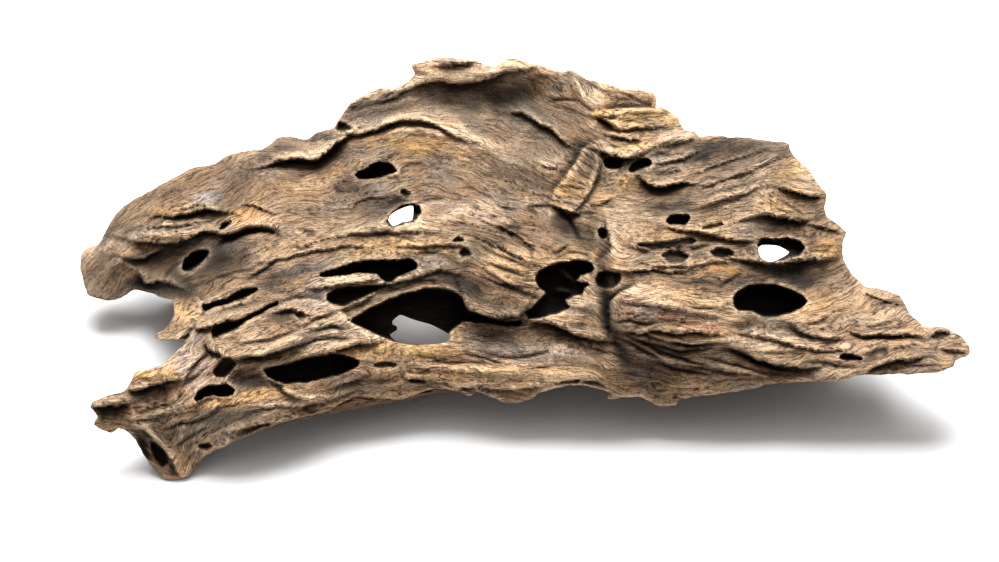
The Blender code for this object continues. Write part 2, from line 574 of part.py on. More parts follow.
def grow_together(pieces, collection):
    """Joins the shell and its roots into one closed solid with a limited number of faces."""
    vertices, faces = [], []
    for piece in pieces:
        first = len(vertices)
        vertices += [tuple(vertex.co) for vertex in piece.data.vertices]
        faces += [tuple(first + n for n in face.vertices) for face in piece.data.polygons]
        bpy.data.objects.remove(piece, do_unlink=True)
    mesh = bpy.data.meshes.new("joined")
    mesh.from_pydata(vertices, [], faces)
    joined = bpy.data.objects.new("joined", mesh)
    collection.objects.link(joined)
    skin = joined.modifiers.new("one skin", "REMESH")
    skin.mode = "VOXEL"
    skin.voxel_size = WORK_STEP
    triangles = joined.modifiers.new("triangles", "TRIANGULATE")
    bpy.context.view_layer.update()
    whole = joined.evaluated_get(bpy.context.evaluated_depsgraph_get()).to_mesh()
    count = len(whole.polygons)
    joined.modifiers.remove(triangles)
    fewer = joined.modifiers.new("fewer faces", "DECIMATE")
    fewer.ratio = KEPT_FACES / count
    fewer.use_collapse_triangulate = True
    bpy.context.view_layer.update()
    graph = bpy.context.evaluated_depsgraph_get()
    finished = bpy.data.meshes.new_from_object(joined.evaluated_get(graph), depsgraph=graph)
    bpy.data.objects.remove(joined, do_unlink=True)
    return finished


def stand_on_ground(mesh):
    """Sets the feet flat on the ground and moves the middle of the plan over the origin."""
    work = bmesh.new()
    work.from_mesh(mesh)
    for vertex in work.verts:
        vertex.co.x -= PLAN_CENTRE[0]
        vertex.co.y -= PLAN_CENTRE[1]
        if vertex.co.z < FOOT_FLAT_HEIGHT:
            vertex.co.z = 0.0
    bmesh.ops.recalc_face_normals(work, faces=work.faces)
    work.to_mesh(mesh)
    work.free()


def main():
    """Builds the piece of wood in its own collection."""
    clear_scene()
    collection = bpy.data.collections.new("Honeycomb wood")
    bpy.context.scene.collection.children.link(collection)
    pieces = [shell()] + [limb(marks) for marks in LIMBS]
    mesh = grow_together(pieces, collection)
    stand_on_ground(mesh)
    mesh.name = "driftwood"
    mesh.materials.clear()
    mesh.materials.append(wood_material())
    wood = bpy.data.objects.new("driftwood", mesh)
    collection.objects.link(wood)


main()
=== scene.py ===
"""Honeycomb wood: one piece of weathered driftwood, dressed for its portrait.

The piece is drawn on a flat grid, as it looks from the front and 30 degrees above. Every mark is
carried along its own line of sight to its real height, so the drawing gives the outline, the
openings, the ledges and the grain, and the spot heights give the form.
"""
import logging
import math
from collections.abc import Callable
from dataclasses import dataclass, field
from enum import Enum

import bmesh
import bpy
import numpy as np
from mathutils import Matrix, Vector

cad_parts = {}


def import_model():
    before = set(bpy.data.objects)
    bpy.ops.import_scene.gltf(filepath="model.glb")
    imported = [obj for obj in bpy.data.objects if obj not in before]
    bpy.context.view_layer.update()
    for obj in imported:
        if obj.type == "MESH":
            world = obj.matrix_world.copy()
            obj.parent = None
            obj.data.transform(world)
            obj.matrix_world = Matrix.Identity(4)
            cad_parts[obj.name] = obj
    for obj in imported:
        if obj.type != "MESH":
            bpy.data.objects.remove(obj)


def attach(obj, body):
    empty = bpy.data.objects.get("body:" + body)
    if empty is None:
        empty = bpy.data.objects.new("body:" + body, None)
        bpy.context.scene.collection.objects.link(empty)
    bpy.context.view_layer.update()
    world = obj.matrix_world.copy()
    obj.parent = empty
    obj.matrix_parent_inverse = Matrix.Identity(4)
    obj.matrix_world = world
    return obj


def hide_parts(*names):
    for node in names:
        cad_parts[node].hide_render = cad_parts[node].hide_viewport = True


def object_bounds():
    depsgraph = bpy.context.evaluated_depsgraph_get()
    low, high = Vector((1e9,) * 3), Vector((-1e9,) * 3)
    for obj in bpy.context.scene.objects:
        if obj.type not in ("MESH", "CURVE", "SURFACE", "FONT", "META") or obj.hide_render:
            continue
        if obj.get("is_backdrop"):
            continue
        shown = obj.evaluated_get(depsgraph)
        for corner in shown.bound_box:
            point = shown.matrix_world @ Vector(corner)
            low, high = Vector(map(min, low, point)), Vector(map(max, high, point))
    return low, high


LOG = logging.getLogger("honeycomb_wood")
MM = 0.001
TINY = 1e-9
Mark = tuple[float, float]
Line = list[Mark]
Stops = tuple[Mark, ...]
Socket = bpy.types.NodeSocket
Array = np.ndarray


class Side(Enum):
    """Which skin of the wood a face belongs to; the value is its place among the materials."""

    FACE = 0
    UNDERSIDE = 1
    WALL = 2


class Tone(Enum):
    """Colours of the wood, as they look under white light."""

    TAN = (0.66, 0.53, 0.40)
    PALE = (0.84, 0.73, 0.60)
    ROSE = (0.72, 0.59, 0.50)
    SILVER = (0.68, 0.62, 0.57)
    LILAC = (0.72, 0.69, 0.67)
    ASH = (0.50, 0.45, 0.40)
    STONE = (0.41, 0.38, 0.35)
    BROWN = (0.50, 0.38, 0.27)
    UMBER = (0.31, 0.23, 0.16)
    CHAR = (0.12, 0.09, 0.07)
    HONEY = (0.79, 0.625, 0.41)
    AMBER = (0.74, 0.545, 0.32)
    RUST = (0.60, 0.38, 0.25)

    def linear(self) -> Array:
        """Gives the colour as linear light."""
        value = np.array(self.value)
        return np.where(value <= 0.04045, value / 12.92, ((value + 0.055) / 1.055) ** 2.4)


# The tones under short names, for the tables below.
TAN, PALE, ROSE, SILVER, LILAC, ASH, STONE, BROWN, UMBER, CHAR, HONEY, AMBER, RUST = Tone


@dataclass(frozen=True)
class Ledge:
    """A step where one layer ends over another, lower on the right of the line's course."""

    drop: float
    reach: float
    line: Line


@dataclass(frozen=True)
class Ridge:
    """A ridge, or with a height below zero a crease or crack."""

    height: float
    width: float
    line: Line


@dataclass(frozen=True)
class Swelling:
    """A broad swelling, or with a height below zero a dip."""

    height: float
    wide: float
    high: float
    mark: Mark


@dataclass(frozen=True)
class Hollow:
    """A hole that ends in the wood, with a sloping edge inside its line."""

    depth: float
    edge: float
    line: Line


@dataclass(frozen=True)
class Patch:
    """A soft patch of colour: its tone, strength, middle, half sizes and slant in degrees."""

    tone: Tone
    strength: float
    mark: Mark
    wide: float
    high: float
    slant: float = 0.0


@dataclass(frozen=True)
class Area:
    """A soft spot: its strength, middle, half sizes and slant in degrees."""

    strength: float
    mark: Mark
    wide: float
    high: float
    slant: float = 0.0


@dataclass(frozen=True)
class StainAndShading:
    """A colour drawn along a line, used for stains, painted shade and painted highlights: its tone,
    strength and half width.
    """

    tone: Tone
    strength: float
    width: float
    line: Line


def areas(groups: dict[float, list[tuple[float, ...]]]) -> list[Area]:
    """Makes soft spots from rows that are grouped by strength.

    Args:
        groups: For each strength, rows of place across and down, half sizes and, if any, slant.

    Returns:
        The spots.
    """
    return [
        Area(strength, (u, v), *rest) for strength, rows in groups.items() for u, v, *rest in rows
    ]


# The drawn edge of the piece, round to its start, in squares of the drawing.
OUTLINE: Line = [
    (80, 265), (83, 251), (99, 243), (107, 228), (118, 211), (136, 198), (168, 181), (190, 168),
    (210, 165), (233, 153), (262, 149), (277, 138), (290, 136), (307, 139), (318, 132), (333, 127),
    (341, 117), (351, 104), (374, 91), (394, 87), (407, 82), (415, 73), (411, 65), (422, 62),
    (438, 58), (473, 60), (484, 65), (496, 65), (509, 59), (522, 60), (545, 67), (563, 72),
    (572, 70), (586, 79), (604, 83), (629, 90), (650, 91), (657, 98), (656, 108), (665, 109),
    (678, 119), (685, 130), (694, 132), (700, 136), (734, 137), (767, 140), (787, 144), (792, 154),
    (809, 170), (818, 184), (827, 195), (825, 207), (828, 217), (840, 226), (846, 233), (843, 242),
    (843, 259), (851, 273), (865, 286), (879, 289), (896, 294), (902, 300), (910, 312), (917, 321),
    (924, 326), (946, 328), (960, 335), (971, 350), (966, 357), (955, 360), (953, 367), (935, 373),
    (901, 374), (862, 375), (837, 381), (798, 382), (767, 384), (753, 389), (717, 394), (680, 399),
    (675, 405), (658, 405), (641, 397), (627, 398), (607, 398), (610, 392), (598, 388), (582, 385),
    (566, 386), (543, 392), (533, 398), (508, 403), (489, 396), (477, 392), (470, 395), (456, 391),
    (439, 388), (413, 395), (398, 399), (358, 398), (343, 402), (328, 411), (300, 418), (264, 429),
    (223, 447), (203, 458), (190, 474), (182, 478), (170, 479), (162, 477), (146, 459), (140, 447),
    (129, 433), (119, 428), (110, 433), (91, 423), (98, 417), (89, 405), (107, 396), (125, 390),
    (135, 373), (142, 370), (160, 366), (170, 358), (185, 343), (174, 340), (158, 339), (156, 334),
    (168, 326), (174, 313), (172, 300), (160, 298), (150, 293), (135, 290), (121, 297), (109, 300),
    (89, 296), (86, 290),
]

# Holes that go right through.
OPENINGS: list[Line] = [
    [(388, 219), (393, 213), (403, 208), (413, 206), (412, 220), (403, 222), (393, 226)],
    [(758, 248), (764, 245), (778, 246), (789, 252), (783, 257), (771, 262), (761, 258)],
    [
        (391, 323), (400, 315), (409, 318), (418, 321), (432, 325), (450, 335), (448, 341), (438, 344),
        (415, 344), (398, 342), (390, 335), (399, 328),
    ],
]

# Height of the smooth upper face over the ground at marks on the drawing, in millimetres.
SPOT_HEIGHTS: list[tuple[float, float, float]] = [
    (175, 475, 2), (140, 450, 9), (130, 425, 20), (92, 405, 32), (100, 422, 26), (142, 372, 35),
    (180, 345, 39), (200, 400, 29), (200, 440, 13), (235, 406, 31), (250, 428, 19), (300, 417, 21),
    (350, 400, 19), (400, 395, 18), (460, 392, 18), (520, 400, 18), (570, 388, 23), (620, 398, 20),
    (680, 402, 18), (760, 386, 26), (850, 379, 30), (950, 370, 33), (970, 350, 35), (924, 327, 35),
    (896, 294, 35), (851, 273, 36), (843, 240, 40), (825, 197, 48), (790, 150, 59), (740, 139, 64),
    (690, 133, 67), (657, 100, 79), (600, 83, 87), (520, 61, 95), (450, 59, 95), (400, 86, 85),
    (350, 105, 73), (300, 138, 56), (250, 153, 52), (210, 166, 49), (150, 191, 44), (100, 243, 32),
    (82, 266, 23), (100, 292, 16), (140, 288, 18), (120, 262, 27), (130, 225, 38), (160, 285, 28),
    (160, 335, 35), (175, 305, 38), (200, 240, 46), (250, 200, 51), (300, 200, 54), (300, 260, 50),
    (250, 300, 43), (240, 345, 40), (220, 385, 31), (250, 395, 31), (350, 180, 59), (350, 240, 55),
    (340, 310, 47), (350, 360, 34), (450, 100, 77), (450, 128, 73), (450, 160, 67), (450, 200, 62),
    (450, 250, 56), (450, 290, 50), (440, 350, 33), (500, 372, 27), (520, 250, 57), (520, 200, 63),
    (520, 330, 39), (550, 120, 76), (570, 230, 60), (580, 290, 50), (560, 360, 31), (620, 120, 78),
    (620, 165, 70), (620, 220, 63), (625, 300, 51), (650, 345, 41), (650, 386, 22), (670, 310, 51),
    (720, 335, 41), (740, 165, 64), (740, 220, 58), (740, 270, 49), (760, 350, 36), (800, 185, 55),
    (820, 230, 47), (820, 290, 41), (820, 340, 36), (880, 320, 37), (900, 350, 35),
]

# Wall thickness that differs from the usual one, in millimetres: place, reach, extra.
THICK_PLACES: list[tuple[float, float, float, float]] = [
    (770, 300, 70, 17), (195, 261, 40, 5), (376, 170, 45, 4), (310, 368, 50, 2), (640, 330, 60, 10),
    (440, 310, 60, 6), (180, 450, 40, 4), (120, 420, 40, -9), (930, 350, 45, -6), (610, 130, 60, 6),
]

# Steps between layers: drop in millimetres, reach in squares of the drawing, and line.
# Each ledge also paints shade below its line and a pale edge of wear and painted highlight above.
LEDGES: list[Ledge] = [
    # The lobe and its flakes.
    Ledge(8.0, 9, [(162, 216), (172, 216), (186, 214), (196, 211), (207, 209), (218, 210), (230, 213)]),
    Ledge(2.2, 4, [(166, 211), (178, 209), (190, 206), (200, 204), (208, 207)]),
    Ledge(7.5, 12, [
        (132, 240), (142, 242), (152, 241), (162, 243), (178, 242), (190, 237), (200, 231), (212, 231),
        (222, 234),
    ]),
    Ledge(4.5, 7, [(123, 257), (134, 258), (144, 257), (153, 252), (166, 246)]),
    Ledge(9.0, 6, [
        (140, 272), (143, 279), (146, 283), (152, 283), (158, 280), (170, 283), (180, 288),
    ]),
    Ledge(1.6, 4, [(140, 236), (155, 236), (172, 238), (190, 234)]),
    # The wavy ridge, the crest and the bowl.
    Ledge(9.8, 11, [
        (266, 166), (276, 162), (285, 160), (300, 159), (316, 160), (326, 153), (336, 143), (345, 137),
    ]),
    Ledge(7.0, 4.5, [
        (326, 153), (336, 143), (347, 136), (360, 133), (376, 130), (388, 124), (400, 120), (418, 120),
        (432, 124), (446, 131), (462, 139),
    ]),
    Ledge(4.5, 6, [(437, 66), (446, 64), (462, 63), (476, 61)]),
    Ledge(7.5, 14, [
        (404, 91), (414, 86), (425, 82), (440, 80), (450, 83), (462, 83), (476, 81), (488, 79),
        (506, 71), (528, 69),
    ]),
    Ledge(5.0, 8, [(508, 112), (520, 112), (530, 117), (540, 124), (553, 130), (560, 138), (572, 148)]),
    Ledge(2.2, 5, [(536, 160), (546, 166), (560, 170)]),
    # The blocks and the fan at the junction.
    Ledge(6.0, 9, [(658, 109), (640, 109), (622, 109), (602, 111)]),
    Ledge(6.0, 6, [(596, 117), (603, 119), (608, 122), (616, 129)]),
    Ledge(4.0, 5, [(603, 133), (612, 136), (622, 137), (632, 139), (644, 140)]),
    Ledge(7.0, 8, [(599, 151), (606, 153), (612, 157), (620, 158), (628, 157), (636, 156), (645, 152)]),
    Ledge(2.6, 4, [(657, 146), (672, 144), (686, 141), (695, 137)]),
    Ledge(8.5, 10, [(641, 178), (648, 183), (655, 186), (664, 187), (672, 184), (682, 182), (694, 184)]),
    Ledge(6.0, 14, [(601, 140), (590, 144), (582, 150), (577, 162), (565, 178), (555, 190), (551, 204)]),
    Ledge(5.5, 7, [(552, 205), (560, 207), (566, 212), (581, 212)]),
    Ledge(5.0, 8, [(606, 222), (609, 235), (612, 248), (604, 258), (595, 269)]),
    Ledge(2.0, 5, [(585, 206), (600, 204), (614, 197)]),
    # The bulge and the tongue beside the comb of holes.
    Ledge(8.0, 11, [(462, 295), (467, 308), (478, 313), (490, 317), (505, 317), (520, 316), (525, 308)]),
    Ledge(8.0, 8, [(526, 320), (540, 321), (555, 324), (565, 329), (577, 335), (592, 338), (612, 341)]),
    # The right-hand face.
    Ledge(7.0, 9, [(778, 187), (786, 189), (793, 191), (803, 193), (812, 196), (821, 196)]),
    Ledge(8.5, 10, [(750, 218), (762, 214), (768, 214), (775, 217), (785, 218), (797, 220), (809, 220)]),
    Ledge(7.0, 12, [(738, 259), (757, 262), (775, 263), (800, 261), (815, 259), (834, 257)]),
    Ledge(4.0, 6, [(612, 269), (625, 271), (640, 271), (655, 268), (668, 272), (684, 271), (700, 268)]),
    Ledge(9.0, 7, [(640, 284), (622, 292), (611, 300), (610, 312), (612, 325), (612, 336)]),
    Ledge(6.5, 6, [(612, 328), (628, 331), (640, 333), (655, 329), (675, 332), (695, 331), (714, 334)]),
    Ledge(3.0, 6, [(640, 340), (662, 342), (690, 343), (716, 341), (736, 341)]),
    Ledge(6.0, 9, [(735, 349), (752, 357), (768, 362), (786, 366), (804, 367), (822, 366)]),
    Ledge(4.5, 7, [(794, 326), (805, 333), (812, 336), (825, 337), (842, 338)]),
    Ledge(4.0, 6, [(848, 331), (862, 335), (880, 335), (900, 335), (930, 336)]),
    Ledge(5.0, 8, [(860, 375), (872, 369), (884, 363), (896, 360), (910, 360), (924, 357)]),
    Ledge(3.0, 5, [(940, 349), (952, 350), (970, 350)]),
    # The plates of the lower left.
    Ledge(4.5, 7, [(206, 343), (210, 350), (217, 352), (222, 356), (220, 362)]),
    Ledge(5.2, 9, [(232, 362), (243, 357), (262, 355), (285, 348), (306, 338)]),
    Ledge(7.0, 6, [
        (286, 362), (300, 358), (315, 354), (330, 351), (345, 347), (352, 344), (364, 343), (379, 341),
    ]),
    Ledge(6.8, 10, [(127, 391), (140, 388), (155, 384), (170, 380), (184, 378)]),
    Ledge(7.5, 9, [(88, 403), (95, 406), (108, 405), (120, 404), (131, 401)]),
    Ledge(4.5, 7, [(192, 328), (205, 328), (215, 324), (238, 319)]),
    Ledge(3.0, 5, [(197, 317), (203, 311), (204, 303), (196, 297)]),
    Ledge(5.0, 8, [
        (130, 428), (145, 428), (149, 433), (156, 441), (166, 451), (173, 461), (177, 470), (182, 478),
    ]),
    Ledge(4.5, 9, [(224, 433), (240, 428), (262, 423), (285, 420), (300, 417)]),
    Ledge(4.0, 6, [(268, 380), (283, 385), (284, 391), (296, 397), (320, 402)]),
    Ledge(2.5, 4, [(196, 404), (206, 398), (214, 396), (224, 399), (232, 397)]),
    # The front lip.
    Ledge(4.5, 6, [(552, 383), (562, 380), (575, 379), (598, 380), (609, 388)]),
    Ledge(3.5, 5, [
        (430, 383), (445, 381), (455, 387), (470, 386), (485, 387), (500, 389), (520, 388), (546, 384),
    ]),
    Ledge(3.0, 5, [(402, 370), (404, 377), (414, 379), (428, 379), (442, 377)]),
    Ledge(3.5, 6, [(333, 386), (342, 383), (354, 379), (362, 376)]),
    Ledge(4.0, 6, [(312, 288), (330, 286), (350, 283), (366, 281), (379, 280)]),
    # Smaller layers of the lobe, plates, tongue, blocks and right-hand face.
    Ledge(5.5, 6, [
        (200, 233), (213, 231), (223, 234), (234, 234), (249, 228), (259, 227), (270, 230), (279, 235),
    ]),
    Ledge(3.0, 5, [(150, 228), (162, 226), (178, 226), (192, 224), (204, 221)]),
    Ledge(3.0, 5, [(240, 206), (252, 204), (262, 208), (276, 214)]),
    Ledge(4.5, 5, [
        (333, 306), (320, 301), (309, 299), (296, 300), (284, 304), (268, 310), (255, 317), (241, 322),
    ]),
    Ledge(4.0, 5, [(278, 311), (290, 309), (306, 313)]),
    Ledge(4.0, 5, [(377, 340), (362, 331), (349, 320), (341, 312), (333, 304)]),
    Ledge(3.0, 4, [(262, 262), (290, 257), (316, 250), (345, 246), (372, 247)]),
    Ledge(2.6, 4, [(300, 246), (330, 237), (356, 233), (384, 233), (410, 231), (440, 232)]),
    Ledge(3.0, 4, [(395, 247), (420, 246), (448, 244), (470, 248)]),
    Ledge(4.5, 5, [(575, 211), (587, 196), (598, 174), (601, 148)]),
    Ledge(4.0, 5, [(604, 121), (612, 127), (622, 129), (640, 128), (662, 126)]),
    Ledge(3.5, 5, [(656, 163), (668, 162), (684, 158), (700, 150)]),
    Ledge(3.0, 4, [(655, 173), (668, 172), (684, 168)]),
    Ledge(5.0, 5, [(664, 225), (678, 230), (696, 231), (714, 236), (736, 240), (756, 241)]),
    Ledge(3.5, 5, [(628, 246), (645, 249), (662, 247), (690, 246), (712, 244)]),
    Ledge(3.5, 5, [(640, 262), (660, 266), (690, 266), (712, 262), (730, 262)]),
    Ledge(3.2, 4, [(618, 300), (640, 303), (664, 306), (690, 312), (716, 316)]),
    Ledge(3.0, 4, [(700, 188), (724, 180), (748, 172), (772, 162)]),
    Ledge(3.0, 4, [(696, 208), (724, 199), (748, 192), (766, 184)]),
    Ledge(2.6, 4, [(690, 176), (715, 165), (740, 157), (764, 148)]),
    Ledge(3.5, 5, [(806, 222), (820, 226), (834, 230), (843, 236)]),
    Ledge(3.2, 5, [(862, 292), (878, 297), (892, 303), (905, 305)]),
    Ledge(3.2, 4, [(736, 333), (760, 336), (780, 340), (796, 346), (820, 350), (850, 350)]),
    Ledge(3.0, 4, [(640, 356), (670, 362), (700, 366), (735, 372), (770, 376)]),
    Ledge(3.0, 4, [(466, 233), (486, 240), (508, 250), (530, 262)]),
    Ledge(3.0, 4, [(478, 218), (500, 226), (520, 236), (536, 250)]),
    Ledge(2.6, 4, [(480, 266), (500, 278), (522, 290), (540, 298)]),
    Ledge(2.6, 4, [(404, 364), (430, 368), (460, 371), (490, 373), (520, 374)]),
    Ledge(3.0, 4, [(250, 410), (275, 406), (300, 406), (330, 398), (356, 390)]),
    Ledge(3.0, 4, [(130, 418), (150, 418), (175, 412), (200, 408)]),
    Ledge(3.4, 4, [(182, 384), (186, 374), (196, 362), (206, 352)]),
    Ledge(3.5, 10, [
        (340, 309), (356, 303), (364, 299), (374, 292), (384, 285), (397, 281), (412, 278), (426, 274),
        (440, 269), (456, 274),
    ]),
]
